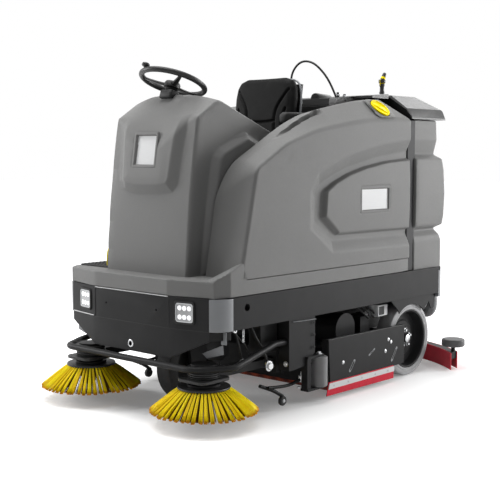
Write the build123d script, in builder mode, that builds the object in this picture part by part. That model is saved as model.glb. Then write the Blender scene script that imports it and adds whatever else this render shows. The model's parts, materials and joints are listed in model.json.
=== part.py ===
"""Ride-on floor scrubber with three wheels, side brushes, a roller deck and a curved rear squeegee.

Frame: +Z up, floor at z = 0, +Y towards the rear, +X towards the machine's left side.
The origin is on the floor under the middle of the overall length.  Sizes are millimetres.
"""
from build123d import *
from math import atan2, cos, pi, radians, sin, sqrt, tan
import os

os.makedirs("parts", exist_ok=True)

# ---------------------------------------------------------------- driving dimensions
FRONT_PLATE_Y = -1038.0   # front face of the bumper band
HALF_WIDTH = 560.0        # centre plane to the flank
SKIN = 0.3                # running gap between close curved faces
FIT = 0.05                # radial clearance of a shaft in its bore

# chassis
BEAM_BOTTOM = 465.0
BEAM_TOP = 620.0
BEAM_THICK = 30.0
BEAM_FRONT = 143.0        # behind the front plate
BEAM_REAR = 1942.0
BAND_HALF_FLAT = 277.0    # half width of the flat front facet
BAND_CORNER_X = HALF_WIDTH - 60     # where the chamfered facet ends
BAND_CORNER_Y = 41.0
BAND_THICK = 12.0
FLOOR_THICK = 12.0
CROSS_WIDTH = 60.0
CROSS_DEPTH = 90.0
BEAM_HOLE_R = 18.0
BEAM_HOLE_Y = 240.0
APRON_BOTTOM = 321.0
APRON_END_Z = 420.0       # lower edge of the apron at its ends
TOW_HOLE_R = 12.0
TOW_HOLE_Z = 358.0
PROTECTOR_THICK = 16.0
REAR_GUARD_BOTTOM = 440.0
REAR_GUARD_TOP = 598.0

# lamps
LAMP_X = 367.0
LAMP_Z = 545.0
LAMP_W = 83.0
LAMP_H = 103.0
LAMP_BEZEL = 9.0
LAMP_PROUD = 5.0

# grey mouldings
DECK_TOP = 700.0
DECK_FLAT_X = 265.0
DECK_CORNER_X = HALF_WIDTH - 40
DECK_CORNER_Y = 52.0
DECK_SIDE_Y = 125.0
SILL_RISE = 87.0
TANK_INNER_X = 300.0
TANK_FACE_X = 332.0       # inner edge of the left tank's front face
RIDGE_X = HALF_WIDTH - 120
TANK_FRONT = 196.0
TANK_REAR = 1627.0
RIGHT_TANK_FRONT = 700.0
REAR_TANK_FRONT = TANK_REAR + 66
PANEL_DEPTH = 30.0
PANEL_RISE = 22.0

# steering tower
TOWER_HALF = 295.0
TOWER_FRONT = 97.0
TOWER_BACK = 330.0
SHOULDER_Z = 1470.0
CROWN_Z = 1596.0
EDGE_CROWN_Z = 1554.0
WING_THICK = 48.0
WING_END_Y = 745.0
WING_END_Z = 1390.0
BOSS_RISE = 30.0
BOSS_HALF = 212.0
BOSS_BOTTOM = 1120.0
FLARE_RISE = 31.0
BADGE_W = 143.0
BADGE_H = 147.0
BADGE_THICK = 4.0
BADGE_X = -15.5
BADGE_Y = 122.0           # the raised panel's face at the badge
BADGE_Z = 1309.5
BADGE_LEAN = 8.2
FLANK_BADGE_W = 270.0
FLANK_BADGE_H = 130.0

# steering wheel
WHEEL_RIM_R = 163.0
WHEEL_TUBE_R = 13.0
WHEEL_TILT = 20.0
WHEEL_Y = 301.0
WHEEL_Z = 1651.0
COLUMN_R = 30.0
HUB_R = 42.0
KNOB_R = 21.0
KNOB_H = 42.0

# seat
CUSHION_W = 480.0
CUSHION_FRONT = 596.0
CUSHION_BACK = 1000.0
CUSHION_BOTTOM = 1150.0
CUSHION_TOP = 1250.0
BACK_W = 430.0
BACK_LENGTH = 450.0
BACK_THICK = 88.0
BACK_FOOT_Y = 973.4       # centre of the back's thickness at its lower edge
BACK_FOOT_Z = 1266.4
BACK_LEAN = 8.0
SHELL_THICK = 12.0
ARM_W = 46.0
ARM_FRONT = 842.0
ARM_PIVOT_Y = 1082.0
ARM_Z = 1482.0
SEAT_BASE_TOP = 1110.0
RAIL_H = 18.0
SEAT_BASE_FRONT = 606.0
REAR_BOX_FRONT = 1196.0
REAR_BOX_TOP = 1560.0
BOX_WALL = 14.0

# battery
BATTERY_W = 520.0
BATTERY_L = 820.0
BATTERY_H = 430.0

# front wheel
FRONT_WHEEL_Y = 400.0
FRONT_TYRE_R = 190.0
FRONT_TYRE_W = 100.0
FRONT_RIM_R = 128.0
STEM_R = 35.0
TURNTABLE_R = 112.0
FORK_TOP = 400.0
FORK_LEG = 18.0
FORK_GAP = 8.0
AXLE_R = 20.0

# rear wheels
REAR_WHEEL_Y = 1684.0
REAR_TYRE_R = 217.0
REAR_RIM_R = 171.0
REAR_TYRE_FACE_X = HALF_WIDTH - 30
REAR_TYRE_W = 100.0
REAR_AXLE_R = 25.0
HUB_BOLT_CIRCLE = 42.0

# side brushes
BRUSH_X = 418.0
BRUSH_Y = 88.0
BRUSH_R = 264.0
BRUSH_BOTTOM = 72.0
BRUSH_HUB_R = 128.0
BRUSH_HUB_TOP = 194.7
MOTOR_R = 62.0
MOTOR_TOP = 300.0
TUFT_COUNT = 44
TUFT_GAP = 9.0
GUIDE_Y = 600.0

# hoop bumper
HOOP_R = 16.0
HOOP_Z = 290.0

# scrub deck
DECK_HOUSING_FRONT = 884.0
DECK_HOUSING_REAR = 1436.0
SIDE_PLATE_X = HALF_WIDTH - 10
SIDE_PLATE_THICK = 7.0
ROLLER_R = 75.0
ROLLER_Z = 98.0
ROLLER_YS = (990.0, 1155.0)
ROLLER_HALF = SIDE_PLATE_X - 52
PIN_R = 12.0

# squeegee
SQ_HALF = 645.0
SQ_END_Y = 1994.0
SQ_MID_Y = 2222.0
SQ_BAR_W = 48.0
BLADE_THICK = 5.5
BLADE_BOTTOM = 5.0
DEFLECTOR_R = 69.0
DEFLECTOR_X = 628.0
DEFLECTOR_Y = 2014.0

# tank lid and top deck
LID_FRONT = 1660.0        # lower front edge
LID_TOP_FRONT = 1602.0
LID_TOP_REAR = 1865.0
LID_REAR = 2016.0
LID_BOTTOM = 1490.0
LID_HINGE_X = 340.0
LID_HINGE_Y = LID_REAR + 6
LID_HINGE_Z = LID_BOTTOM + 6
LID_KNUCKLE_R = 7.0
LID_KNUCKLE_LENGTH = 60.0
LID_PIN_R = 3.0
LID_BREAK = 1550.0        # upper edge of the bevel round the sides
LID_TOP = 1626.0
LID_HALF = HALF_WIDTH - 14
LID_TOP_HALF = HALF_WIDTH - 135


def aft(distance):
    """Y of a point this far behind the front plate."""
    return FRONT_PLATE_Y + distance


def side_points(pairs):
    """Side-view points (distance behind the front plate, height) in the YZ plane."""
    return [(aft(y), z) for y, z in pairs]


def export(part, name):
    """Label a finished piece and write it under its own name."""
    part.label = name
    export_step(part, "parts/" + name + ".step")


def mirrored(part):
    """The same piece on the machine's other side."""
    return mirror(part, about=Plane.YZ)


# ---------------------------------------------------------------- chassis
def front_outline(offset):
    """Half outline (+X side, from the centre) of the faceted front, moved in by offset."""
    return [
        (0, aft(offset)),
        (BAND_HALF_FLAT - offset * 0.1, aft(offset)),
        (BAND_CORNER_X - offset * 0.6, aft(BAND_CORNER_Y + offset)),
        (HALF_WIDTH - PROTECTOR_THICK - offset * 0.9, aft(BEAM_FRONT - 14)),
        (HALF_WIDTH - PROTECTOR_THICK - offset * 0.9, aft(BEAM_FRONT)),
    ]


def front_ring(offset_outer, offset_inner):
    """Closed outline of the front wall between two offsets, both sides."""
    outer = front_outline(offset_outer)
    inner = front_outline(offset_inner)
    right = [(-x, y) for x, y in outer]
    right_in = [(-x, y) for x, y in inner]
    return right[::-1] + outer[1:] + inner[::-1] + right_in[1:]


with BuildPart() as front_band:
    with BuildSketch(Plane.XY.offset(BEAM_BOTTOM)):
        with BuildLine():
            Polyline(*front_ring(0, BAND_THICK), close=True)
        make_face()
    extrude(amount=BEAM_TOP - BEAM_BOTTOM)
    for side in (-1, 1):
        lamp_plane = Plane((side * LAMP_X, aft(-40), LAMP_Z), x_dir=(1, 0, 0), z_dir=(0, 1, 0))
        with BuildSketch(lamp_plane):
            Rectangle(LAMP_W, LAMP_H)
        extrude(amount=100, mode=Mode.SUBTRACT)
        hole_plane = Plane((side * 185, aft(-10), 543), x_dir=(1, 0, 0), z_dir=(0, 1, 0))
        with BuildSketch(hole_plane):
            Circle(5)
        extrude(amount=40, mode=Mode.SUBTRACT)

with BuildPart() as front_apron:
    with BuildSketch(Plane.XY.offset(APRON_BOTTOM)):
        with BuildLine():
            Polyline(*front_ring(0, BAND_THICK), close=True)
        make_face()
    extrude(amount=BEAM_BOTTOM - APRON_BOTTOM)
    for side in (-1, 1):
        with BuildSketch(Plane.XZ.offset(-aft(-60))):
            with BuildLine():
                Polyline(
                    (side * BAND_HALF_FLAT, APRON_BOTTOM),
                    (side * BAND_CORNER_X, APRON_END_Z),
                    (side * HALF_WIDTH, APRON_END_Z),
                    (side * HALF_WIDTH, APRON_BOTTOM),
                    close=True,
                )
            make_face()
        extrude(amount=-300, mode=Mode.SUBTRACT)
    with BuildSketch(Plane.XZ.offset(-aft(-60))):
        with Locations((0, TOW_HOLE_Z)):
            Circle(TOW_HOLE_R)
    extrude(amount=-120, mode=Mode.SUBTRACT)

with BuildPart() as front_bumper:
    add(front_band.part)
    add(front_apron.part)
export(front_bumper.part, "front_bumper")

GUSSET_X = HALF_WIDTH - 24
GUSSET_THICK = 6.0
GUSSET_ARCH_R = 204.0
with BuildPart() as side_beams:
    for side in (-1, 1):
        with BuildSketch(Plane.XY.offset(BEAM_BOTTOM)):
            with Locations((side * (HALF_WIDTH - BEAM_THICK / 2), aft((BEAM_FRONT + BEAM_REAR) / 2))):
                Rectangle(BEAM_THICK, BEAM_REAR - BEAM_FRONT)
        extrude(amount=BEAM_TOP - BEAM_BOTTOM)
    with BuildSketch(Plane.YZ.offset(-HALF_WIDTH)):
        with Locations((aft(BEAM_HOLE_Y), 566)):
            Circle(BEAM_HOLE_R)
    extrude(amount=2 * HALF_WIDTH, mode=Mode.SUBTRACT)
export(side_beams.part, "side_beams")

# plates that reach down round the rear wheels
with BuildPart() as wheel_gussets:
    for side in (-1, 1):
        with BuildSketch(Plane.YZ.offset(side * (GUSSET_X + GUSSET_THICK / 2))):
            with BuildLine():
                Polyline(
                    *side_points([
                        (1468, BEAM_BOTTOM), (1544, 402), (1586, 333), (1640, 326), (1770, 330),
                        (1868, 420), (1896, 372), (1926, 372), (BEAM_REAR, BEAM_BOTTOM),
                    ]),
                    close=True,
                )
            make_face()
            with Locations((aft(REAR_WHEEL_Y), REAR_TYRE_R)):
                Circle(GUSSET_ARCH_R, mode=Mode.SUBTRACT)
        extrude(amount=GUSSET_THICK / 2, both=True)
export(wheel_gussets.part, "wheel_gussets")

INNER_HALF = HALF_WIDTH - BEAM_THICK
STEER_MOUNT_HALF = 150.0
with BuildPart() as floor_frame:
    with BuildSketch(Plane.XY.offset(BEAM_TOP - FLOOR_THICK)):
        with Locations((0, aft((BEAM_FRONT + BEAM_REAR) / 2))):
            Rectangle(2 * INNER_HALF, BEAM_REAR - BEAM_FRONT)
    extrude(amount=FLOOR_THICK)
    for y in (BEAM_FRONT + 60, 860, BEAM_REAR - CROSS_WIDTH / 2):
        with BuildSketch(Plane.XY.offset(BEAM_TOP - FLOOR_THICK - CROSS_DEPTH)):
            with Locations((0, aft(y))):
                Rectangle(2 * INNER_HALF, CROSS_WIDTH)
        extrude(amount=CROSS_DEPTH)
    with BuildSketch(Plane.XY.offset(FORK_TOP + 42)):
        with Locations((0, aft(FRONT_WHEEL_Y))):
            Rectangle(2 * STEER_MOUNT_HALF, 2 * STEER_MOUNT_HALF)
            Circle(STEM_R + FIT, mode=Mode.SUBTRACT)
    extrude(amount=BEAM_TOP - FLOOR_THICK - FORK_TOP - 42)
export(floor_frame.part, "floor_frame")

GUARD_REAR_Y = 2012.0
with BuildPart() as corner_protectors:
    for side in (-1, 1):
        with BuildSketch(Plane.XY.offset(BEAM_BOTTOM)):
            with BuildLine():
                front_pt = (side * (BAND_CORNER_X + 0.5), aft(BAND_CORNER_Y - 1))
                side_pt = (side * (HALF_WIDTH + 1), aft(BEAM_FRONT - 1))
                mid_pt = (side * (HALF_WIDTH - 11), aft(BAND_CORNER_Y + 36))
                inner_side = (side * (HALF_WIDTH - PROTECTOR_THICK + SKIN), aft(BEAM_FRONT - 1))
                inner_bend = (side * (HALF_WIDTH - PROTECTOR_THICK + SKIN), aft(BEAM_FRONT - 14))
                inner_front = (side * (BAND_CORNER_X + 0.5), aft(BAND_CORNER_Y + 1))
                ThreePointArc(front_pt, mid_pt, side_pt)
                Polyline(side_pt, inner_side, inner_bend, inner_front, front_pt)
            make_face()
        extrude(amount=BEAM_TOP - BEAM_BOTTOM - 2)
        with BuildSketch(Plane.XY.offset(REAR_GUARD_BOTTOM)):
            with BuildLine():
                start = (side * HALF_WIDTH, aft(BEAM_REAR + 4))
                bend = (side * (HALF_WIDTH - 14), aft(GUARD_REAR_Y - 20))
                end = (side * (HALF_WIDTH - 60), aft(GUARD_REAR_Y))
                ThreePointArc(start, bend, end)
                Polyline(end, (side * (HALF_WIDTH - 60), aft(BEAM_REAR + 4)), start)
            make_face()
        extrude(amount=REAR_GUARD_TOP - REAR_GUARD_BOTTOM)
export(corner_protectors.part, "corner_protectors")

REAR_BAR_DEPTH = 60.0
with BuildPart() as rear_bumper:
    with BuildSketch(Plane.XY.offset(BEAM_BOTTOM)):
        with Locations((0, aft(BEAM_REAR + REAR_BAR_DEPTH / 2))):
            Rectangle(2 * (HALF_WIDTH - 60), REAR_BAR_DEPTH)
    extrude(amount=BEAM_TOP - BEAM_BOTTOM)
    for side in (-1, 1):
        with BuildSketch(Plane.XY.offset(REAR_GUARD_TOP)):
            with Locations((side * (HALF_WIDTH - 36), aft(BEAM_REAR + 24))):
                Rectangle(48, 48)
        extrude(amount=BEAM_TOP - REAR_GUARD_TOP)
export(rear_bumper.part, "rear_bumper")

AXLE_BEAM_HALF = REAR_TYRE_FACE_X - REAR_TYRE_W - 22
with BuildPart() as rear_axle:
    with BuildSketch(Plane.YZ.offset(-AXLE_BEAM_HALF)):
        with Locations((aft(REAR_WHEEL_Y), REAR_TYRE_R)):
            RectangleRounded(80, 80, 12)
    extrude(amount=2 * AXLE_BEAM_HALF)
    with BuildSketch(Plane.YZ.offset(-REAR_TYRE_FACE_X + 12)):
        with Locations((aft(REAR_WHEEL_Y), REAR_TYRE_R)):
            Circle(REAR_AXLE_R)
    extrude(amount=2 * (REAR_TYRE_FACE_X - 12))
    for side in (-1, 1):
        with BuildSketch(Plane.YZ.offset(side * (AXLE_BEAM_HALF - 10))):
            with BuildLine():
                Polyline(
                    *side_points([
                        (REAR_WHEEL_Y - 60, REAR_TYRE_R), (REAR_WHEEL_Y - 110, BEAM_TOP - FLOOR_THICK),
                        (REAR_WHEEL_Y + 110, BEAM_TOP - FLOOR_THICK), (REAR_WHEEL_Y + 60, REAR_TYRE_R),
                        (REAR_WHEEL_Y, REAR_TYRE_R - 60),
                    ]),
                    close=True,
                )
            make_face()
        extrude(amount=8, both=True)
export(rear_axle.part, "rear_axle")

# upright guides that the brush arms and the squeegee carrier slide on
GUIDE_THICK = 30.0
GUIDE_W = 90.0
CARRIER_GUIDE_Y = 1868.0
with BuildPart() as tool_guides:
    for side in (-1, 1):
        with BuildSketch(Plane.XY.offset(178)):
            with Locations((side * BRUSH_X, aft(GUIDE_Y + GUIDE_THICK / 2))):
                Rectangle(GUIDE_W, GUIDE_THICK)
        extrude(amount=BEAM_TOP - FLOOR_THICK - 178)
    with BuildSketch(Plane.XY.offset(150)):
        with Locations((0, aft(CARRIER_GUIDE_Y + GUIDE_THICK / 2))):
            Rectangle(160, GUIDE_THICK)
    extrude(amount=BEAM_TOP - FLOOR_THICK - CROSS_DEPTH - 150)
    for side in (-1, 1):
        with BuildSketch(Plane.XY.offset(150)):
            with Locations((side * 230, aft(DECK_HOUSING_REAR + 0.5 + 12))):
                Rectangle(60, 24)
        extrude(amount=BEAM_TOP - FLOOR_THICK - 150)
export(tool_guides.part, "tool_guides")

# ---------------------------------------------------------------- lamps and badges
with BuildPart() as work_lamps:
    for side in (-1, 1):
        plane = Plane((side * LAMP_X, aft(-LAMP_PROUD + 16), LAMP_Z), x_dir=(1, 0, 0), z_dir=(0, 1, 0))
        with BuildSketch(plane):
            RectangleRounded(LAMP_W - 2 * SKIN, LAMP_H - 2 * SKIN, 14)
        extrude(amount=34)
        with BuildSketch(plane):
            RectangleRounded(LAMP_W - 2 * LAMP_BEZEL, LAMP_H - 2 * LAMP_BEZEL, 10)
        extrude(amount=4, mode=Mode.SUBTRACT)
        with BuildSketch(plane.offset(4)):
            with GridLocations(20.5, 43, 3, 2):
                Circle(8.5)
        extrude(amount=-3)
export(work_lamps.part, "work_lamps")

# ---------------------------------------------------------------- moulded deck (platform)
with BuildPart() as platform:
    with BuildSketch(Plane.XY.offset(BEAM_TOP)):
        with BuildLine():
            half = [
                (DECK_FLAT_X, aft(-4)), (DECK_CORNER_X, aft(DECK_CORNER_Y)),
                (HALF_WIDTH, aft(DECK_SIDE_Y)), (HALF_WIDTH, aft(TANK_REAR)),
            ]
            Polyline(*half, *[(-x, y) for x, y in half[::-1]], close=True)
        make_face()
    extrude(amount=DECK_TOP - BEAM_TOP)
    with BuildSketch(Plane.XY.offset(BEAM_TOP)):
        with Locations((0, aft(1090))):
            Rectangle(BATTERY_W + 2 * BOX_WALL + 16, BATTERY_L + 2 * BOX_WALL + 16)
    extrude(amount=DECK_TOP - BEAM_TOP, mode=Mode.SUBTRACT)
# sill that rises under the left tank's front corner
with BuildPart() as platform_sill:
    with BuildSketch(Plane.XY.offset(DECK_TOP)):
        with BuildLine():
            Polyline(
                (DECK_CORNER_X - 80, aft(95)), (DECK_CORNER_X + 4, aft(DECK_CORNER_Y + 8)),
                (HALF_WIDTH, aft(DECK_SIDE_Y)), (HALF_WIDTH, aft(TANK_FRONT - 1)),
                (DECK_CORNER_X - 92, aft(TANK_FRONT - 1)), close=True,
            )
        make_face()
    extrude(amount=SILL_RISE)
    split(
        bisect_by=Plane((DECK_CORNER_X - 80, aft(110), DECK_TOP - 0.1), z_dir=(-0.44, -0.35, 1)),
        keep=Keep.BOTTOM,
    )

with BuildPart() as whole_platform:
    add(platform.part)
    add(platform_sill.part)
export(whole_platform.part, "platform")

MAT_HALF_Y = (118.0, 560.0)
MAT_EDGE_X = HALF_WIDTH - 30
with BuildPart() as step_mat:
    with BuildSketch(Plane.XY.offset(DECK_TOP)):
        with Locations((-(TOWER_HALF + 10 + MAT_EDGE_X) / 2, aft(sum(MAT_HALF_Y) / 2))):
            Rectangle(MAT_EDGE_X - TOWER_HALF - 10, MAT_HALF_Y[1] - MAT_HALF_Y[0])
        with Locations((0, aft((TOWER_BACK + 20 + 590) / 2))):
            Rectangle(2 * TOWER_HALF + 22, 590 - TOWER_BACK - 20)
        with Locations((TANK_INNER_X - 20, aft(TOWER_BACK + 100))):
            Rectangle(2 * (WING_THICK + 22), 600, mode=Mode.SUBTRACT)
    extrude(amount=8)
export(step_mat.part, "step_mat")


# ---------------------------------------------------------------- steering tower
wheel_centre = Vector(0, aft(WHEEL_Y), WHEEL_Z)
wheel_axis = Vector(0, sin(radians(WHEEL_TILT)), cos(radians(WHEEL_TILT)))
wheel_plane = Plane(wheel_centre, x_dir=(1, 0, 0), z_dir=wheel_axis)
COLUMN_LENGTH = 60.0
HUB_DROP = 34.0


def tower_profile(front_shift, crown_y, crown_z):
    """Side view of the tower at one width station: curved front, sloped cap, falling top, footwell."""
    front = side_points([
        (TOWER_FRONT + front_shift, DECK_TOP), (TOWER_FRONT + 14 + front_shift, 939),
        (TOWER_FRONT + 42 + front_shift, 1182), (TOWER_FRONT + 84 + front_shift, SHOULDER_Z),
    ])
    rest = side_points([
        (crown_y, crown_z), (560, crown_z - 0.393 * (560 - crown_y)), (400, 1230), (TOWER_BACK, DECK_TOP),
    ])
    Spline(*front)
    Polyline(front[-1], *rest, front[0])


with BuildPart() as tower_body:
    for x, *shape in (
        (-TOWER_HALF, 4, 300, EDGE_CROWN_Z - 12),
        (0, -3, 282, CROWN_Z),
        (TOWER_HALF, 4, 329, EDGE_CROWN_Z),
    ):
        with BuildSketch(Plane.YZ.offset(x)):
            with BuildLine():
                tower_profile(*shape)
            make_face()
    loft(ruled=False)

# raised panel on the tower's front
with BuildPart() as tower_boss:
    add(tower_body.part.moved(Location((0, -BOSS_RISE, 0))))
    with BuildSketch(Plane.XZ.offset(-aft(0))):
        with BuildLine():
            half = [
                (BOSS_HALF - 75, BOSS_BOTTOM),
                (BOSS_HALF - 32, BOSS_BOTTOM + 45),
                (BOSS_HALF, SHOULDER_Z - 6),
            ]
            Polyline(*half, *[(-x, z) for x, z in half[::-1]], close=True)
        make_face()
    extrude(amount=-TOWER_BACK, mode=Mode.INTERSECT)

badge_plane = Plane(
    (BADGE_X, aft(BADGE_Y + BADGE_THICK + 2), BADGE_Z), x_dir=(1, 0, 0),
    z_dir=(0, -cos(radians(BADGE_LEAN)), sin(radians(BADGE_LEAN))),
)
with BuildPart() as steering_tower:
    add(tower_body.part)
    add(tower_boss.part)
    with BuildSketch(badge_plane):
        Rectangle(BADGE_W + 8, BADGE_H + 8)
    extrude(amount=60, mode=Mode.SUBTRACT)
    # strip where the tower's skin steps out towards the tank
    with BuildSketch(Plane.YZ.offset(TOWER_HALF - WING_THICK)):
        with BuildLine():
            Polyline(
                *side_points([
                    (200, DECK_TOP), (245, 1057), (268, 1200), (292, 1275), (340, 1317), (507, 1380),
                    (WING_END_Y - 105, 1346), (WING_END_Y - 150, DECK_TOP),
                ]),
                close=True,
            )
        make_face()
    extrude(amount=WING_THICK + FLARE_RISE)
    with BuildSketch(Plane.YZ.offset(TOWER_HALF - WING_THICK)):
        with BuildLine():
            Polyline(
                *side_points([
                    (TOWER_BACK - 40, DECK_TOP), (TOWER_BACK - 40, EDGE_CROWN_Z - 60), (560, 1455),
                    (WING_END_Y, WING_END_Z), (WING_END_Y - 60, 1180), (590, DECK_TOP),
                ]),
                close=True,
            )
        make_face()
    extrude(amount=WING_THICK)
    with BuildSketch(wheel_plane.offset(-HUB_DROP)):
        RectangleRounded(86 + 2 * SKIN, 70 + 2 * SKIN, 12)
    extrude(amount=-COLUMN_LENGTH - 2, mode=Mode.SUBTRACT)
export(steering_tower.part, "steering_tower")

# ---------------------------------------------------------------- water tanks
SHOULDER_CREASE = [(340, 1233), (529, 1340), (780, 1407), (1193, 1482), (1560, 1486)]
RIDGE_LINE = [(420, 1300), (600, 1398), (800, 1475), (1159, 1567), (1480, 1597)]
TANK_TAIL_Z = 1484.0      # top of the tank at its rear face


CAP_Y = 1400.0
CAP_X = RIDGE_X + 60
CAP_R = 62.0
CAP_POCKET = 12.0         # depth of the bowl that the cap sits in
cap_tilt = atan2(RIDGE_LINE[-1][1] - SHOULDER_CREASE[-1][1], HALF_WIDTH - RIDGE_X)
cap_normal = Vector(sin(cap_tilt), 0, cos(cap_tilt))
cap_mid_z = (RIDGE_LINE[-1][1] + SHOULDER_CREASE[-1][1]) / 2
cap_plane = Plane(
    Vector(CAP_X, aft(CAP_Y), cap_mid_z) - cap_normal * CAP_POCKET, x_dir=(0, 1, 0), z_dir=cap_normal
)


with BuildPart() as left_tank:
    for x, low, high, line in (
        (RIDGE_X, TANK_FRONT, 330, RIDGE_LINE),
        (HALF_WIDTH, TANK_FRONT + 2, 318, SHOULDER_CREASE),
    ):
        with BuildSketch(Plane.YZ.offset(x)):
            with BuildLine():
                start = (aft(low), DECK_TOP)
                neck = (aft(high), line[0][1] - 30)
                top = side_points(line)
                Line(start, neck)
                Spline(neck, *top)
                Polyline(top[-1], (aft(TANK_REAR), TANK_TAIL_Z), (aft(TANK_REAR), DECK_TOP), start)
            make_face()
    loft(ruled=True)
    with BuildSketch(Plane.YZ.offset(TANK_FACE_X)):
        with BuildLine():
            start = (aft(TANK_FRONT), DECK_TOP)
            neck = (aft(330), RIDGE_LINE[0][1] - 30)
            top = side_points(RIDGE_LINE)
            Line(start, neck)
            Spline(neck, *top)
            Polyline(top[-1], (aft(TANK_REAR), TANK_TAIL_Z), (aft(TANK_REAR), DECK_TOP), start)
        make_face()
    extrude(amount=RIDGE_X - TANK_FACE_X)
    # side pocket, then the raised panel inside it
    outer = side_points([
        (782, 1190), (1053, 1261), (1640, 1325), (1640, 763), (907, 778), (719, 909), (718, 1102),
    ])
    inner = side_points([
        (820, 1150), (1080, 1235), (1640, 1300), (1640, 800), (935, 815), (770, 930), (770, 1090),
    ])
    with BuildSketch(Plane.YZ.offset(HALF_WIDTH + 0.5)):
        with BuildLine():
            Polyline(*outer, close=True)
        make_face()
    with BuildSketch(Plane.YZ.offset(HALF_WIDTH - PANEL_DEPTH)):
        with BuildLine():
            Polyline(*inner, close=True)
        make_face()
    loft(ruled=True, mode=Mode.SUBTRACT)
    with BuildSketch(Plane.YZ.offset(HALF_WIDTH - PANEL_DEPTH - 1)):
        with BuildLine():
            Polyline(
                *side_points([
                    (862, 1099), (916, 1130), (1198, 1210), (TANK_REAR, 1285),
                    (TANK_REAR, 850), (961, 854), (837, 952),
                ]),
                close=True,
            )
        make_face()
    extrude(amount=PANEL_RISE)
    with BuildSketch(cap_plane):
        Circle(CAP_R + 10)
    extrude(amount=60, mode=Mode.SUBTRACT)
    # grab groove along the ridge
    with BuildSketch(Plane.YZ.offset(RIDGE_X - 12)):
        with BuildLine():
            Polyline(
                *side_points([(570, 1352), (755, 1438), (905, 1494), (928, 1560), (560, 1560)]),
                close=True,
            )
        make_face()
    extrude(amount=42, mode=Mode.SUBTRACT)
export(left_tank.part, "left_tank")

with BuildPart() as right_tank:
    add(mirrored(left_tank.part))
    with BuildSketch(Plane.XY.offset(DECK_TOP - 1)):
        with Locations((-HALF_WIDTH + 150, aft(RIGHT_TANK_FRONT - 400))):
            Rectangle(500, 800)
    extrude(amount=1000, mode=Mode.SUBTRACT)
export(right_tank.part, "right_tank")

REAR_TANK_REAR = 2037.0
# height, how far in the flank is there, and how far in the rear face is
REAR_BANDS = [
    (BEAM_TOP, 15, 14), (782, 15, 16), (845, 44, 52), (853, 44, 52), (873, 6, 18), (1060, 0, 1),
    (1262, 7, 28), (1287, 42, 66), (1297, 42, 66), (1373, 24, 62), (1482, 21, 78),
]
with BuildPart() as rear_tank:
    for z, side_in, rear_in in REAR_BANDS:
        depth = REAR_TANK_REAR - rear_in - REAR_TANK_FRONT
        with BuildSketch(Plane.XY.offset(z)):
            with Locations((0, aft(REAR_TANK_FRONT + depth / 2))):
                Rectangle(2 * (HALF_WIDTH - side_in), depth)
    loft(ruled=True)
    with BuildSketch(Plane.YZ.offset(-HALF_WIDTH + 40)):
        with BuildLine():
            Polyline(
                *side_points([(TANK_REAR, BEAM_TOP), (TANK_REAR, 1482), (REAR_TANK_FRONT, 1482),
                              (REAR_TANK_FRONT, BEAM_TOP)]),
                close=True,
            )
        make_face()
    extrude(amount=2 * HALF_WIDTH - 80)
    with BuildSketch(Plane.XY.offset(1482)):
        with Locations((0, aft(1820))):
            Rectangle(2 * HALF_WIDTH - 90, 240)
    extrude(amount=LID_BOTTOM - SKIN - 1482)
    # lugs and pins that the lid swings on
    for side in (-1, 1):
        for end in (-1, 1):
            lug_x = side * LID_HINGE_X + end * (LID_KNUCKLE_LENGTH / 2 + 4)
            with BuildSketch(Plane.YZ.offset(lug_x)):
                with BuildLine():
                    Polyline(
                        *side_points([
                            (1900, 1470), (LID_HINGE_Y + 12, 1470), (LID_HINGE_Y + 12, LID_HINGE_Z + 5),
                            (LID_HINGE_Y - 2.5, LID_HINGE_Z + 5), (LID_HINGE_Y - 2.5, LID_HINGE_Z - 6.5),
                            (1900, LID_HINGE_Z - 6.5),
                        ]),
                        close=True,
                    )
                make_face()
            extrude(amount=3, both=True)
        with BuildSketch(Plane.YZ.offset(side * LID_HINGE_X)):
            with Locations((aft(LID_HINGE_Y), LID_HINGE_Z)):
                Circle(LID_PIN_R)
        extrude(amount=LID_KNUCKLE_LENGTH / 2 + 6, both=True)
export(rear_tank.part, "rear_tank")

# ---------------------------------------------------------------- seat base, battery, rear box
with BuildPart() as seat_base:
    with BuildSketch(Plane.YZ.offset(-TANK_FACE_X + SKIN)):
        with BuildLine():
            Polyline(
                *side_points([
                    (SEAT_BASE_FRONT, DECK_TOP), (SEAT_BASE_FRONT, SEAT_BASE_TOP),
                    (REAR_BOX_FRONT, SEAT_BASE_TOP),
                    (REAR_BOX_FRONT, REAR_BOX_TOP), (1580, REAR_BOX_TOP), (TANK_REAR - 0.5, TANK_TAIL_Z),
                    (TANK_REAR - 0.5, DECK_TOP),
                ]),
                close=True,
            )
        make_face()
    extrude(amount=2 * (TANK_FACE_X - SKIN))
    with BuildSketch(Plane.XY.offset(DECK_TOP)):
        with Locations((0, aft(1090))):
            Rectangle(BATTERY_W + 16, BATTERY_L + 16)
    extrude(amount=BEAM_TOP + BATTERY_H + 10 - DECK_TOP, mode=Mode.SUBTRACT)
    # room for the tower's wing, and the narrower front of the seat box
    for side in (-1, 1):
        with BuildSketch(Plane.XY.offset(DECK_TOP)):
            with Locations((side * TANK_FACE_X, aft((SEAT_BASE_FRONT + WING_END_Y) / 2))):
                Rectangle(
                    2 * (TANK_FACE_X - TOWER_HALF + WING_THICK + 10), WING_END_Y - SEAT_BASE_FRONT + 10,
                )
        extrude(amount=800, mode=Mode.SUBTRACT)
    # rails the seat slides on
    for side in (-1, 1):
        with BuildSketch(Plane.XY.offset(SEAT_BASE_TOP)):
            with Locations((side * 150, aft((CUSHION_FRONT + CUSHION_BACK) / 2 + 40))):
                Rectangle(40, 440)
        extrude(amount=RAIL_H)
export(seat_base.part, "seat_base")

with BuildPart() as battery:
    with BuildSketch(Plane.XY.offset(BEAM_TOP)):
        with Locations((0, aft(1090))):
            Rectangle(BATTERY_W, BATTERY_L)
    extrude(amount=BATTERY_H)
export(battery.part, "battery")

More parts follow.
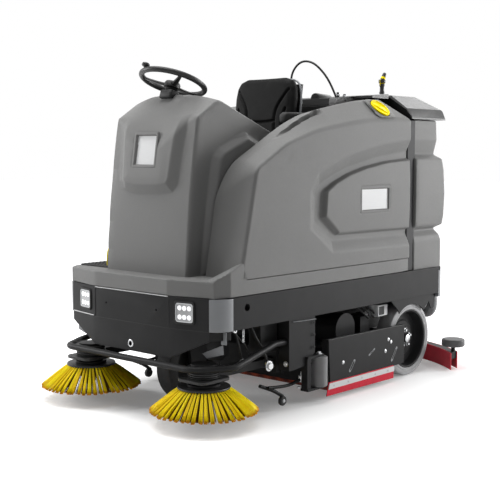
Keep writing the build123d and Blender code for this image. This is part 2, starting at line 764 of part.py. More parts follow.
DECK_REAR = LID_TOP_FRONT - 12
DECK_WING_FRONT = 1430.0
with BuildPart() as top_deck:
    with BuildSketch(Plane.YZ.offset(-TANK_INNER_X)):
        with BuildLine():
            Polyline(
                *side_points([
                    (REAR_BOX_FRONT, REAR_BOX_TOP), (REAR_BOX_FRONT + 10, 1598), (DECK_REAR, 1632),
                    (DECK_REAR, 1600), (1574, REAR_BOX_TOP),
                ]),
                close=True,
            )
        make_face()
    extrude(amount=2 * TANK_INNER_X)
    with BuildSketch(Plane.YZ.offset(-(RIDGE_X - 12))):
        with BuildLine():
            Polyline(
                *side_points([
                    (DECK_WING_FRONT, 1604), (DECK_WING_FRONT, 1617), (DECK_REAR, 1632), (DECK_REAR, 1604),
                ]),
                close=True,
            )
        make_face()
    extrude(amount=2 * (RIDGE_X - 12))
export(top_deck.part, "top_deck")

lid_edge = [
    (LID_FRONT, LID_BOTTOM), (LID_FRONT - 2, LID_BOTTOM + 6), (LID_FRONT, LID_BOTTOM + 10),
    (LID_REAR - 4, LID_BOTTOM + 10), (LID_REAR, LID_BOTTOM + 6), (LID_REAR, LID_BOTTOM),
]
lid_break = [
    (LID_FRONT, LID_BOTTOM), (LID_FRONT - 36, LID_BREAK - 8), (LID_FRONT - 30, LID_BREAK),
    (LID_REAR - 20, LID_BREAK), (LID_REAR - 4, LID_BREAK - 8), (LID_REAR, LID_BOTTOM),
]
lid_crown = [
    (LID_FRONT, LID_BOTTOM), (LID_TOP_FRONT, LID_TOP - 12), (LID_TOP_FRONT + 16, LID_TOP),
    (LID_TOP_REAR, LID_TOP), (LID_REAR - 10, LID_BREAK), (LID_REAR, LID_BOTTOM),
]
with BuildPart() as tank_lid:
    for x, outline in (
        (-LID_HALF, lid_edge), (-LID_HALF + 18, lid_break), (-LID_TOP_HALF, lid_crown),
        (LID_TOP_HALF, lid_crown), (LID_HALF - 18, lid_break), (LID_HALF, lid_edge),
    ):
        with BuildSketch(Plane.YZ.offset(x)):
            with BuildLine():
                Polyline(*side_points(outline), close=True)
            make_face()
    loft(ruled=True)
    for side in (-1, 1):
        with BuildSketch(Plane.YZ.offset(side * LID_HINGE_X)):
            with Locations((aft(LID_HINGE_Y), LID_HINGE_Z)):
                Circle(LID_KNUCKLE_R)
        extrude(amount=LID_KNUCKLE_LENGTH / 2, both=True)
        with BuildSketch(Plane.YZ.offset(side * LID_HINGE_X)):
            with Locations((aft(LID_HINGE_Y), LID_HINGE_Z)):
                Circle(LID_PIN_R + FIT)
        extrude(amount=LID_KNUCKLE_LENGTH / 2 + 1, both=True, mode=Mode.SUBTRACT)
export(tank_lid.part, "tank_lid")

# ---------------------------------------------------------------- filler cap on the left shoulder
with BuildPart() as filler_cap:
    with BuildSketch(cap_plane.offset(SKIN)):
        Circle(CAP_R)
    extrude(amount=CAP_POCKET + 4)
    with BuildSketch(cap_plane.offset(8)):
        Circle(CAP_R - 10)
    extrude(amount=CAP_POCKET, mode=Mode.SUBTRACT)
    with BuildSketch(cap_plane.offset(8)):
        Rectangle(2 * (CAP_R - 9), 22, rotation=37)
    extrude(amount=CAP_POCKET - 5)
export(filler_cap.part, "filler_cap")

# ---------------------------------------------------------------- badge plates
with BuildPart() as badge_plates:
    with BuildSketch(Plane.YZ.offset(HALF_WIDTH - PANEL_DEPTH - 1 + PANEL_RISE)):
        with Locations((aft(1286), 1045)):
            Rectangle(FLANK_BADGE_W, FLANK_BADGE_H)
    extrude(amount=BADGE_THICK)
    with BuildSketch(badge_plane):
        Rectangle(BADGE_W, BADGE_H)
    extrude(amount=BADGE_THICK)
export(badge_plates.part, "badge_plates")

# ---------------------------------------------------------------- steering column and wheel
with BuildPart() as steering_column:
    with BuildSketch(wheel_plane.offset(-HUB_DROP - SKIN)):
        Circle(COLUMN_R)
    extrude(amount=-COLUMN_LENGTH)
    with BuildSketch(wheel_plane.offset(-HUB_DROP - SKIN - 18)):
        RectangleRounded(86, 70, 12)
    extrude(amount=-COLUMN_LENGTH + 18)
export(steering_column.part, "steering_column")

KNOB_ANGLE = 250.0
with BuildPart() as steering_wheel:
    with BuildSketch(Plane(wheel_centre, x_dir=(1, 0, 0), z_dir=wheel_plane.y_dir)):
        with Locations((WHEEL_RIM_R, 0)):
            Circle(WHEEL_TUBE_R)
    revolve(axis=Axis(wheel_centre, wheel_axis), revolution_arc=360)
    with BuildSketch(wheel_plane.offset(-HUB_DROP)):
        Circle(HUB_R)
    extrude(amount=HUB_DROP - 2)
    for spoke_angle in (90, 210, 330):
        turn = radians(spoke_angle)
        reach = wheel_plane.x_dir * cos(turn) + wheel_plane.y_dir * sin(turn)
        hub_side = wheel_centre - wheel_axis * 18
        spoke_plane = Plane(hub_side, x_dir=wheel_axis, z_dir=reach)
        with BuildSketch(spoke_plane):
            Rectangle(14, 34)
        rim_point = hub_side + reach * WHEEL_RIM_R + wheel_axis * 18
        with BuildSketch(Plane(rim_point, x_dir=wheel_axis, z_dir=reach)):
            Rectangle(12, 26)
        loft()
    knob_reach = wheel_plane.x_dir * cos(radians(KNOB_ANGLE)) + wheel_plane.y_dir * sin(radians(KNOB_ANGLE))
    with BuildSketch(Plane(wheel_centre + knob_reach * WHEEL_RIM_R, x_dir=(1, 0, 0), z_dir=wheel_axis)):
        Circle(8)
    extrude(amount=KNOB_H)
    knob_point = wheel_centre + knob_reach * WHEEL_RIM_R + wheel_axis * 22
    with BuildSketch(Plane(knob_point, x_dir=(1, 0, 0), z_dir=wheel_axis)):
        Circle(KNOB_R)
    extrude(amount=KNOB_H - 22)
export(steering_wheel.part, "steering_wheel")

# ---------------------------------------------------------------- pedals and lever
LEVER_X = -345.0
with BuildPart() as foot_controls:
    for x, width in ((-60, 90), (90, 70)):
        with BuildSketch(Plane.YZ.offset(x)):
            with BuildLine():
                Polyline(
                    *side_points([
                        (TOWER_BACK + 24, DECK_TOP + 8), (TOWER_BACK + 24, 740), (TOWER_BACK + 40, 860),
                        (TOWER_BACK + 52, 858),
                        (TOWER_BACK + 110, DECK_TOP + 20), (TOWER_BACK + 110, DECK_TOP + 8),
                    ]),
                    close=True,
                )
            make_face()
        extrude(amount=width / 2, both=True)
    # hand lever beside the tower
    with BuildLine() as lever_path:
        l1 = Line((LEVER_X, aft(150), DECK_TOP + 8.3), (LEVER_X, aft(150), 745))
        l2 = ThreePointArc(l1 @ 1, (LEVER_X, aft(157), 785), (LEVER_X, aft(180), 815))
    with BuildSketch(Plane(l1 @ 0, z_dir=(0, 0, 1))):
        RectangleRounded(18, 12, 4)
    sweep()
    with BuildSketch(Plane(lever_path.line @ 1, z_dir=lever_path.line % 1)):
        RectangleRounded(30, 26, 8)
    extrude(amount=34)
export(foot_controls.part, "foot_controls")

# ---------------------------------------------------------------- seat
PAN_TOP = CUSHION_BOTTOM - SKIN
with BuildPart() as seat_pan:
    with BuildSketch(Plane.XY.offset(SEAT_BASE_TOP + RAIL_H + SKIN)):
        with Locations((0, aft((CUSHION_FRONT + CUSHION_BACK) / 2 + 30))):
            Rectangle(CUSHION_W - 60, CUSHION_BACK - CUSHION_FRONT - 20)
    extrude(amount=PAN_TOP - SEAT_BASE_TOP - RAIL_H - SKIN)
    # upright back shell, behind the back pad
    lean = radians(BACK_LEAN)
    shell_drop = (BACK_FOOT_Z - PAN_TOP) / cos(lean) + 8.5
    shell_low = Vector(0, aft(BACK_FOOT_Y), BACK_FOOT_Z) - Vector(0, sin(lean), cos(lean)) * shell_drop
    shell_plane = Plane(
        shell_low + Vector(0, cos(lean), -sin(lean)) * (BACK_THICK / 2 + SKIN),
        x_dir=(1, 0, 0), z_dir=(0, sin(lean), cos(lean)),
    )
    with BuildSketch(shell_plane):
        with Locations((0, SHELL_THICK / 2)):
            Rectangle(BACK_W - 14, SHELL_THICK)
    extrude(amount=BACK_LENGTH - 34 + shell_drop)
    # cross bar that carries the armrest pivots
    with BuildSketch(Plane.XY.offset(ARM_Z - 16)):
        with Locations((0, aft(ARM_PIVOT_Y - 8))):
            Rectangle(BACK_W + 40, 36)
    extrude(amount=32)
    with BuildSketch(Plane.YZ.offset(-(BACK_W / 2 + 24 + ARM_W - 6))):
        with Locations((aft(ARM_PIVOT_Y), ARM_Z)):
            Circle(10)
    extrude(amount=BACK_W + 2 * (24 + ARM_W - 6))
export(seat_pan.part, "seat_pan")

with BuildPart() as seat_cushion:
    with BuildSketch(Plane.XY.offset(CUSHION_BOTTOM)):
        with Locations((0, aft((CUSHION_FRONT + CUSHION_BACK) / 2))):
            RectangleRounded(CUSHION_W, CUSHION_BACK - CUSHION_FRONT, 60)
    extrude(amount=CUSHION_TOP - CUSHION_BOTTOM)
    fillet(seat_cushion.faces().sort_by(Axis.Z)[-1].edges(), 28)
export(seat_cushion.part, "seat_cushion")

back_bottom = Vector(0, aft(BACK_FOOT_Y), BACK_FOOT_Z)
with BuildPart() as seat_back:
    back_plane = Plane(
        back_bottom, x_dir=(1, 0, 0), z_dir=(0, -cos(radians(BACK_LEAN)), sin(radians(BACK_LEAN))),
    )
    with BuildSketch(back_plane.offset(-BACK_THICK / 2)):
        with BuildLine():
            Polyline(
                (-BACK_W / 2 + 14, 0), (-BACK_W / 2, 120), (-BACK_W / 2, BACK_LENGTH - 120),
                (-BACK_W / 2 + 46, BACK_LENGTH), (BACK_W / 2 - 46, BACK_LENGTH),
                (BACK_W / 2, BACK_LENGTH - 120), (BACK_W / 2, 120), (BACK_W / 2 - 14, 0),
                close=True,
            )
        make_face()
        fillet(vertices(), 40)
    extrude(amount=BACK_THICK)
export(seat_back.part, "seat_back")

armrests = {}
for side, name in ((1, "armrest_left"), (-1, "armrest_right")):
    with BuildPart() as armrest:
        with BuildSketch(Plane.YZ.offset(side * (BACK_W / 2 + 24))):
            with BuildLine():
                Polyline(
                    *side_points([
                        (ARM_FRONT, 1452), (ARM_FRONT, 1500),
                        (ARM_FRONT + 20, 1514), (ARM_PIVOT_Y + 24, 1512),
                        (ARM_PIVOT_Y + 24, 1456), (ARM_FRONT + 120, 1462),
                    ]),
                    close=True,
                )
            make_face()
            with Locations((aft(ARM_PIVOT_Y), ARM_Z)):
                Circle(10 + FIT, mode=Mode.SUBTRACT)
        extrude(amount=side * ARM_W)
    export(armrest.part, name)

# ---------------------------------------------------------------- front wheel and fork
with BuildPart() as steer_fork:
    with BuildSketch(Plane.XY.offset(FORK_TOP)):
        with Locations((0, aft(FRONT_WHEEL_Y))):
            Circle(TURNTABLE_R)
    extrude(amount=41.7)
    with BuildSketch(Plane.XY.offset(FORK_TOP + 41.7)):
        with Locations((0, aft(FRONT_WHEEL_Y))):
            Circle(STEM_R)
    extrude(amount=140)
    leg_x = FRONT_TYRE_W / 2 + FORK_GAP + FORK_LEG / 2
    for side in (-1, 1):
        with BuildSketch(Plane.YZ.offset(side * leg_x)):
            with BuildLine():
                Polyline(
                    *side_points([
                        (FRONT_WHEEL_Y - 80, FORK_TOP), (FRONT_WHEEL_Y + 80, FORK_TOP),
                        (FRONT_WHEEL_Y + 45, FRONT_TYRE_R - 40), (FRONT_WHEEL_Y - 45, FRONT_TYRE_R - 40),
                    ]),
                    close=True,
                )
            make_face()
        extrude(amount=FORK_LEG / 2, both=True)
    with BuildSketch(Plane.YZ.offset(-leg_x)):
        with Locations((aft(FRONT_WHEEL_Y), FRONT_TYRE_R)):
            Circle(AXLE_R)
    extrude(amount=2 * leg_x)
    with BuildSketch(Plane.YZ.offset(-leg_x - FORK_LEG / 2)):
        with Locations((aft(FRONT_WHEEL_Y), FRONT_TYRE_R + 20)):
            Circle(68)
    extrude(amount=-110)
export(steer_fork.part, "steer_fork")

with BuildPart() as front_tyre:
    with BuildSketch(Plane.YZ.offset(-FRONT_TYRE_W / 2)):
        with Locations((aft(FRONT_WHEEL_Y), FRONT_TYRE_R)):
            Circle(FRONT_TYRE_R)
            Circle(FRONT_RIM_R, mode=Mode.SUBTRACT)
    extrude(amount=FRONT_TYRE_W)
export(front_tyre.part, "front_tyre")

with BuildPart() as front_rim:
    with BuildSketch(Plane.YZ.offset(-FRONT_TYRE_W / 2 + 6)):
        with Locations((aft(FRONT_WHEEL_Y), FRONT_TYRE_R)):
            Circle(FRONT_RIM_R)
            Circle(AXLE_R + FIT, mode=Mode.SUBTRACT)
    extrude(amount=FRONT_TYRE_W - 12)
export(front_rim.part, "front_rim")

# ---------------------------------------------------------------- rear wheels
for side, suffix in ((1, "left"), (-1, "right")):
    face = REAR_TYRE_FACE_X
    inner = REAR_TYRE_FACE_X - REAR_TYRE_W
    start = inner if side > 0 else -inner
    with BuildPart() as rear_tyre:
        with BuildSketch(Plane.YZ.offset(start)):
            with Locations((aft(REAR_WHEEL_Y), REAR_TYRE_R)):
                Circle(REAR_TYRE_R)
                Circle(REAR_RIM_R, mode=Mode.SUBTRACT)
        extrude(amount=side * REAR_TYRE_W)
        chamfer(rear_tyre.edges().filter_by(GeomType.CIRCLE).group_by(SortBy.RADIUS)[-1], 8)
    export(rear_tyre.part, "rear_tyre_" + suffix)
    with BuildPart() as rear_rim:
        with BuildSketch(Plane.YZ.offset(side * (inner + 8))):
            with Locations((aft(REAR_WHEEL_Y), REAR_TYRE_R)):
                Circle(REAR_RIM_R)
                Circle(REAR_AXLE_R + FIT, mode=Mode.SUBTRACT)
        extrude(amount=side * (REAR_TYRE_W - 12))
        with BuildSketch(Plane.YZ.offset(side * (face - 4))):
            with Locations((aft(REAR_WHEEL_Y), REAR_TYRE_R)):
                Circle(REAR_RIM_R - 14)
                Circle(66, mode=Mode.SUBTRACT)
        extrude(amount=-side * 52, mode=Mode.SUBTRACT)
        with BuildSketch(Plane.YZ.offset(side * (face - 4))):
            with Locations((aft(REAR_WHEEL_Y), REAR_TYRE_R)):
                Circle(66)
                Circle(REAR_AXLE_R + FIT, mode=Mode.SUBTRACT)
        extrude(amount=-side * 26, mode=Mode.SUBTRACT)
        with BuildSketch(Plane.YZ.offset(side * (face - 30))):
            with Locations((aft(REAR_WHEEL_Y), REAR_TYRE_R)):
                with PolarLocations(HUB_BOLT_CIRCLE, 5):
                    Circle(7)
        extrude(amount=side * 14)
    export(rear_rim.part, "rear_rim_" + suffix)

# ---------------------------------------------------------------- side brushes
ARM_LOW = 222.0
ARM_HIGH = 262.0
for side, suffix in ((1, "left"), (-1, "right")):
    cx = side * BRUSH_X
    with BuildPart() as brush_arm:
        with BuildSketch(Plane.XY.offset(BRUSH_HUB_TOP + SKIN)):
            with Locations((cx, aft(BRUSH_Y))):
                Circle(MOTOR_R + 18)
        extrude(amount=12)
        with BuildSketch(Plane.XY.offset(BRUSH_HUB_TOP + SKIN)):
            with Locations((cx, aft(BRUSH_Y))):
                Circle(MOTOR_R)
        extrude(amount=MOTOR_TOP - BRUSH_HUB_TOP - SKIN)
        with BuildSketch(Plane.XY.offset(ARM_LOW)):
            with Locations((cx, aft((BRUSH_Y + GUIDE_Y - 0.5) / 2))):
                Rectangle(56, GUIDE_Y - 0.5 - BRUSH_Y)
        extrude(amount=ARM_HIGH - ARM_LOW)
        with BuildSketch(Plane.XY.offset(ARM_LOW - 40)):
            with Locations((cx, aft(GUIDE_Y - 0.5 - 15))):
                Rectangle(80, 30)
        extrude(amount=130)
    export(brush_arm.part, "brush_arm_" + suffix)
    with BuildPart() as brush_hub:
        with BuildSketch(Plane.XY.offset(BRUSH_HUB_TOP)):
            with Locations((cx, aft(BRUSH_Y))):
                Circle(BRUSH_HUB_R)
        extrude(amount=-9)
        with BuildSketch(Plane.XY.offset(BRUSH_HUB_TOP - 9)):
            with Locations((cx, aft(BRUSH_Y))):
                Circle(BRUSH_HUB_R - 16)
        extrude(amount=-34)
    export(brush_hub.part, "brush_hub_" + suffix)
    with BuildPart() as bristles:
        with BuildSketch(Plane((cx, aft(BRUSH_Y), 0), x_dir=(1, 0, 0), z_dir=(0, -1, 0))):
            with BuildLine():
                top = BRUSH_HUB_TOP - 9
                Polyline(
                    (BRUSH_HUB_R - 15, top), (BRUSH_HUB_R - 1, top), (BRUSH_R, BRUSH_BOTTOM),
                    (BRUSH_R - 62, BRUSH_BOTTOM), (BRUSH_HUB_R - 15, top - 40), close=True,
                )
            make_face()
        revolve(axis=Axis((cx, aft(BRUSH_Y), 0), (0, 0, 1)), revolution_arc=360)
        # gaps between the tufts, open outside their common root
        with BuildSketch(Plane.XY.offset(BRUSH_BOTTOM - 1)):
            with Locations((cx, aft(BRUSH_Y))):
                with PolarLocations(0, TUFT_COUNT):
                    Polygon(
                        (BRUSH_HUB_R + 14, 0), (BRUSH_R + 4, -TUFT_GAP / 2), (BRUSH_R + 4, TUFT_GAP / 2),
                        align=None,
                    )
        extrude(amount=BRUSH_HUB_TOP - BRUSH_BOTTOM, mode=Mode.SUBTRACT)
    export(bristles.part, "brush_bristles_" + suffix)

# ---------------------------------------------------------------- hoop bumper
HOOP_SIDE_X = HALF_WIDTH + 8
HOOP_END = (HALF_WIDTH - 36, 560.0, 352.0)
hoop_points = [
    (HOOP_END[0], aft(HOOP_END[1]), HOOP_END[2]),
    (HOOP_END[0], aft(HOOP_END[1] - 80), HOOP_END[2]),
    (HOOP_SIDE_X, aft(140), HOOP_Z),
    (470, aft(-28), HOOP_Z),
    (-470, aft(-28), HOOP_Z),
    (-HOOP_SIDE_X, aft(140), HOOP_Z),
    (-HOOP_END[0], aft(HOOP_END[1] - 80), HOOP_END[2]),
    (-HOOP_END[0], aft(HOOP_END[1]), HOOP_END[2]),
]
with BuildPart() as hoop_bumper:
    with BuildLine() as hoop_path:
        FilletPolyline(*hoop_points, radius=90)
    with BuildSketch(Plane(hoop_path.line @ 0, z_dir=hoop_path.line % 0)):
        Circle(HOOP_R)
    sweep()
export(hoop_bumper.part, "hoop_bumper")

# ---------------------------------------------------------------- side brackets with bumper rollers
BUMPER_ROLLER_R = 44.0
BUMPER_ROLLER_Y = 803.0
BUMPER_ROLLER_LOW = 92.0
BUMPER_ROLLER_HIGH = 248.0
with BuildPart() as side_brackets:
    for side in (-1, 1):
        with BuildSketch(Plane.XY.offset(206)):
            with Locations((side * (HALF_WIDTH - 42), aft(582))):
                Rectangle(68, 44)
        extrude(amount=BEAM_BOTTOM - 206)
        with BuildSketch(Plane.YZ.offset(side * (HALF_WIDTH - 16))):
            with BuildLine():
                Polyline(
                    *side_points([
                        (600, BEAM_BOTTOM), (767, BEAM_BOTTOM), (767, 275), (690, 215), (600, 206),
                    ]),
                    close=True,
                )
            make_face()
        extrude(amount=side * 8)
        with BuildSketch(Plane.XY.offset(BUMPER_ROLLER_HIGH + SKIN)):
            with Locations((side * (HALF_WIDTH - 15), aft((690 + BUMPER_ROLLER_Y + 20) / 2))):
                Rectangle(50, BUMPER_ROLLER_Y + 20 - 690)
        extrude(amount=12)
        with BuildSketch(Plane.XY.offset(BUMPER_ROLLER_LOW - SKIN - 12)):
            with Locations((side * (HALF_WIDTH - 15), aft((690 + BUMPER_ROLLER_Y + 20) / 2))):
                Rectangle(50, BUMPER_ROLLER_Y + 20 - 690)
        extrude(amount=12)
        with BuildSketch(Plane.XY.offset(BUMPER_ROLLER_LOW - SKIN - 12)):
            with Locations((side * (HALF_WIDTH - 15), aft(705))):
                Rectangle(40, 30)
        extrude(amount=BUMPER_ROLLER_HIGH - BUMPER_ROLLER_LOW + 2 * SKIN + 24)
export(side_brackets.part, "side_brackets")

for side, suffix in ((1, "left"), (-1, "right")):
    with BuildPart() as bumper_roller:
        with BuildSketch(Plane.XY.offset(BUMPER_ROLLER_LOW)):
            with Locations((side * (HALF_WIDTH - 8), aft(BUMPER_ROLLER_Y))):
                Circle(BUMPER_ROLLER_R)
        extrude(amount=BUMPER_ROLLER_HIGH - BUMPER_ROLLER_LOW)
        fillet(bumper_roller.edges().filter_by(GeomType.CIRCLE), 6)
    export(bumper_roller.part, "bumper_roller_" + suffix)

# ---------------------------------------------------------------- scrub deck
HOUSING_TOP = 262.0
HOUSING_LOW = 70.0
with BuildPart() as scrub_deck:
    with BuildSketch(Plane.YZ.offset(-(SIDE_PLATE_X))):
        with BuildLine():
            Polyline(
                *side_points([
                    (DECK_HOUSING_FRONT, HOUSING_LOW), (DECK_HOUSING_FRONT, HOUSING_TOP - 40),
                    (DECK_HOUSING_FRONT + 40, HOUSING_TOP), (DECK_HOUSING_REAR, HOUSING_TOP),
                    (DECK_HOUSING_REAR, HOUSING_LOW),
                ]),
                close=True,
            )
        make_face()
    extrude(amount=2 * SIDE_PLATE_X)
    # tunnel for the two rollers
    tunnel_front = ROLLER_YS[0] - ROLLER_R - 8
    tunnel_rear = ROLLER_YS[1] + ROLLER_R + 8
    with BuildSketch(Plane.XY.offset(HOUSING_LOW - 1)):
        with Locations((0, aft((tunnel_front + tunnel_rear) / 2))):
            Rectangle(2 * ROLLER_HALF + 12, tunnel_rear - tunnel_front)
    extrude(amount=ROLLER_Z + ROLLER_R + 8 - HOUSING_LOW + 1, mode=Mode.SUBTRACT)
    for y in ROLLER_YS:
        with BuildSketch(Plane.YZ.offset(-ROLLER_HALF - 28)):
            with Locations((aft(y), ROLLER_Z)):
                Circle(PIN_R + FIT)
        extrude(amount=2 * (ROLLER_HALF + 28), mode=Mode.SUBTRACT)
    # motor covers over the front end
    for side in (-1, 1):
        with BuildSketch(Plane.YZ.offset(side * 452)):
            with BuildLine():
                base_l = (aft(1078), HOUSING_TOP)
                base_r = (aft(1250), HOUSING_TOP)
                Line(base_r, base_l)
                Line(base_l, (aft(1078), 350))
                ThreePointArc((aft(1078), 350), (aft(1164), 420), (aft(1250), 350))
                Line((aft(1250), 350), base_r)
            make_face()
        extrude(amount=-side * 210)
        with BuildSketch(Plane.XY.offset(HOUSING_TOP)):
            with Locations((side * 400, aft(1350))):
                Rectangle(100, 90)
        extrude(amount=120)
export(scrub_deck.part, "scrub_deck")

with BuildPart() as deck_side_plates:
    for side in (-1, 1):
        with BuildSketch(Plane.YZ.offset(side * SIDE_PLATE_X)):
            with BuildLine():
                Polyline(
                    *side_points([(876, 322), (1590, 314), (1590, 92), (894, 80)]),
                    close=True,
                )
            make_face()
            for y, z, w in (
                (960, 196, 14), (1060, 172, 16), (1250, 214, 16), (1370, 212, 16), (1430, 206, 14),
            ):
                with Locations((aft(y), z)):
                    SlotOverall(w + 26, w * 0.7, rotation=68, mode=Mode.SUBTRACT)
        extrude(amount=side * SIDE_PLATE_THICK)
export(deck_side_plates.part, "deck_side_plates")

LIP_X = SIDE_PLATE_X + SIDE_PLATE_THICK
with BuildPart() as deck_lips:
    for side in (-1, 1):
        with BuildSketch(Plane.YZ.offset(side * LIP_X)):
            with BuildLine():
                Polyline(*side_points([(856, 26), (876, 96), (1478, 96), (1478, 22)]), close=True)
            make_face()
        extrude(amount=side * 5)
export(deck_lips.part, "deck_lips")

for index, suffix in enumerate(("front", "rear")):
    with BuildPart() as scrub_roller:
        with BuildSketch(Plane.YZ.offset(-ROLLER_HALF)):
            with Locations((aft(ROLLER_YS[index]), ROLLER_Z)):
                Circle(ROLLER_R)
        extrude(amount=2 * ROLLER_HALF)
        with BuildSketch(Plane.YZ.offset(-ROLLER_HALF - 26)):
            with Locations((aft(ROLLER_YS[index]), ROLLER_Z)):
                Circle(PIN_R)
        extrude(amount=2 * (ROLLER_HALF + 26))
    export(scrub_roller.part, "scrub_roller_" + suffix)

# ---------------------------------------------------------------- squeegee
SQ_PIVOT_Y = 2170.0
sag = SQ_MID_Y - SQ_END_Y
SQ_RADIUS = (SQ_HALF ** 2 + sag ** 2) / (2 * sag)
sq_centre = (0, aft(SQ_MID_Y - SQ_RADIUS))


def arc_band(radius_in, radius_out, half):
    """Sketch outline of a band between two radii, out to a half width."""
    def point(radius, x):
        return (x, sq_centre[1] + sqrt(radius ** 2 - x ** 2))

    outer = ThreePointArc(point(radius_out, -half), point(radius_out, 0), point(radius_out, half))
    right = Line(outer @ 1, point(radius_in, half))
    inner = ThreePointArc(right @ 1, point(radius_in, 0), point(radius_in, -half))
    Line(inner @ 1, outer @ 0)


STUB_R = 26.0
CARRIER_TOP = 172.0
with BuildPart() as squeegee_bar:
    with BuildSketch(Plane.XY.offset(66)):
        with BuildLine():
            arc_band(SQ_RADIUS - SQ_BAR_W / 2, SQ_RADIUS + SQ_BAR_W / 2, SQ_HALF)
        make_face()
    extrude(amount=42)
    with BuildSketch(Plane.XY.offset(108)):
        with Locations((0, aft(SQ_PIVOT_Y))):
            Circle(62)
    extrude(amount=20)
    with BuildSketch(Plane.XY.offset(108)):
        with Locations((0, aft(SQ_PIVOT_Y + 26))):
            Rectangle(160, 50)
    extrude(amount=20)
    with BuildSketch(Plane.XY.offset(128)):
        with Locations((0, aft(SQ_PIVOT_Y))):
            Circle(STUB_R)
    extrude(amount=122)
    for side in (-1, 1):
        with BuildSketch(Plane.XY.offset(108)):
            with Locations((side * DEFLECTOR_X, aft(DEFLECTOR_Y))):
                Circle(12)
        extrude(amount=32)
export(squeegee_bar.part, "squeegee_bar")

with BuildPart() as squeegee_blades:
    for offset in (SQ_BAR_W / 2 + SKIN, -SQ_BAR_W / 2 - SKIN - BLADE_THICK):
        with BuildSketch(Plane.XY.offset(BLADE_BOTTOM)):
            with BuildLine():
                arc_band(SQ_RADIUS + offset, SQ_RADIUS + offset + BLADE_THICK, SQ_HALF + 6)
            make_face()
        extrude(amount=103)
export(squeegee_blades.part, "squeegee_blades")

with BuildPart() as squeegee_carrier:
    with BuildSketch(Plane.XY.offset(128 + SKIN)):
        with Locations((0, aft((CARRIER_GUIDE_Y + GUIDE_THICK + 0.5 + SQ_PIVOT_Y) / 2))):
            Rectangle(120, SQ_PIVOT_Y - CARRIER_GUIDE_Y - GUIDE_THICK - 0.5)
        with Locations((0, aft(SQ_PIVOT_Y))):
            Circle(60)
            Circle(STUB_R + FIT, mode=Mode.SUBTRACT)
    extrude(amount=CARRIER_TOP - 128 - SKIN)
    with BuildSketch(Plane.XY.offset(134)):
        with Locations((0, aft(CARRIER_GUIDE_Y + GUIDE_THICK + 0.5 + 15))):
            Rectangle(140, 30)
    extrude(amount=200)
export(squeegee_carrier.part, "squeegee_carrier")

for side, suffix in ((1, "left"), (-1, "right")):
    with BuildPart() as deflector:
        with BuildSketch(Plane.XY.offset(140 + SKIN)):
            with Locations((side * DEFLECTOR_X, aft(DEFLECTOR_Y))):
                Circle(DEFLECTOR_R)
        extrude(amount=44)
        fillet(deflector.edges().filter_by(GeomType.CIRCLE), 10)
    export(deflector.part, "deflector_" + suffix)

# ---------------------------------------------------------------- suction hose
HOSE_R = 34.0
hose_points = [
    (0, aft(SQ_PIVOT_Y), 240), (0, aft(SQ_PIVOT_Y), 345), (150, aft(2178), 352), (300, aft(2172), 300),
    (395, aft(2140), 300), (425, aft(2105), 400), (400, aft(2095), 520), (400, aft(2095), 700),
    (400, aft(2012), 700),
]
with BuildPart() as suction_hose:
    with BuildLine() as hose_path:
        FilletPolyline(*hose_points, radius=[42, 60, 60, 45, 60, 60, 36])
    with BuildSketch(Plane(hose_path.line @ 0, z_dir=hose_path.line % 0)):
        Circle(HOSE_R)
    sweep()
    with BuildSketch(Plane.XY.offset(240)):
        with Locations((0, aft(SQ_PIVOT_Y))):
            Circle(STUB_R + 3)
    extrude(amount=66, mode=Mode.SUBTRACT)
    # end face flat against the tank's leaning rear face
    with BuildSketch(Plane.YZ.offset(hose_points[-1][0] - HOSE_R)):
        (low_z, _, low_in), (high_z, _, high_in) = REAR_BANDS[:2]
        low_y = REAR_TANK_REAR - low_in
        high_y = REAR_TANK_REAR - high_in
        with BuildLine():
            Polyline(
                *side_points([
                    (low_y + SKIN, low_z), (high_y + SKIN, high_z),
                    (high_y - 40, high_z), (high_y - 40, low_z),
                ]),
                close=True,
            )
        make_face()
    extrude(amount=2 * HOSE_R, mode=Mode.SUBTRACT)
export(suction_hose.part, "suction_hose")

# ---------------------------------------------------------------- spray gun and its hose
GUN_X = 398.0
GUN_Y = 1566.0
with BuildPart() as spray_gun:
    with BuildSketch(Plane.XY.offset(1631.5)):
        with Locations((GUN_X, aft(GUN_Y))):
            Circle(16)
    extrude(amount=60.5)
    with BuildSketch(Plane.XY.offset(1692)):
        with Locations((GUN_X, aft(GUN_Y))):
            Circle(20)
    extrude(amount=22)
    with BuildSketch(Plane((GUN_X, aft(GUN_Y + 2), 1708), x_dir=(1, 0, 0), z_dir=(0, 0.5, 0.866))):
        Circle(13)
    extrude(amount=50)
export(spray_gun.part, "spray_gun")

ARCH_R = 6.0
arch_points = [
    (20, aft(1228), 1600.8), (14, aft(1214), 1680), (30, aft(1204), 1755), (92, aft(1204), 1812),
    (165, aft(1218), 1806), (222, aft(1240), 1752), (262, aft(1266), 1680), (284, aft(1284), 1607.6),
]


def corner_radii(points, share=0.45):
    """Largest tangent arc at each corner: a share of the shorter run over the tangent of half the turn."""
    radii = []
    for before, corner, after in zip(points, points[1:], points[2:]):
        run_in = Vector(*corner) - Vector(*before)
        run_out = Vector(*after) - Vector(*corner)
        turn = radians(run_in.get_angle(run_out))
        radii.append(share * min(run_in.length, run_out.length) / tan(turn / 2))
    return radii


arch_radii = corner_radii(arch_points)
print("spray hose radii", [round(r) for r in arch_radii])
with BuildPart() as spray_hose:
    with BuildLine() as arch_path:
        FilletPolyline(*arch_points, radius=arch_radii)
    with BuildSketch(Plane(arch_path.line @ 0, z_dir=arch_path.line % 0)):
        Circle(ARCH_R)
    sweep()
arch_length = sum(edge.length for edge in arch_path.line.edges())
volume_ratio = spray_hose.part.volume / (pi * ARCH_R ** 2 * arch_length)
print("spray hose length", round(arch_length), "volume ratio", volume_ratio)
export(spray_hose.part, "spray_hose")
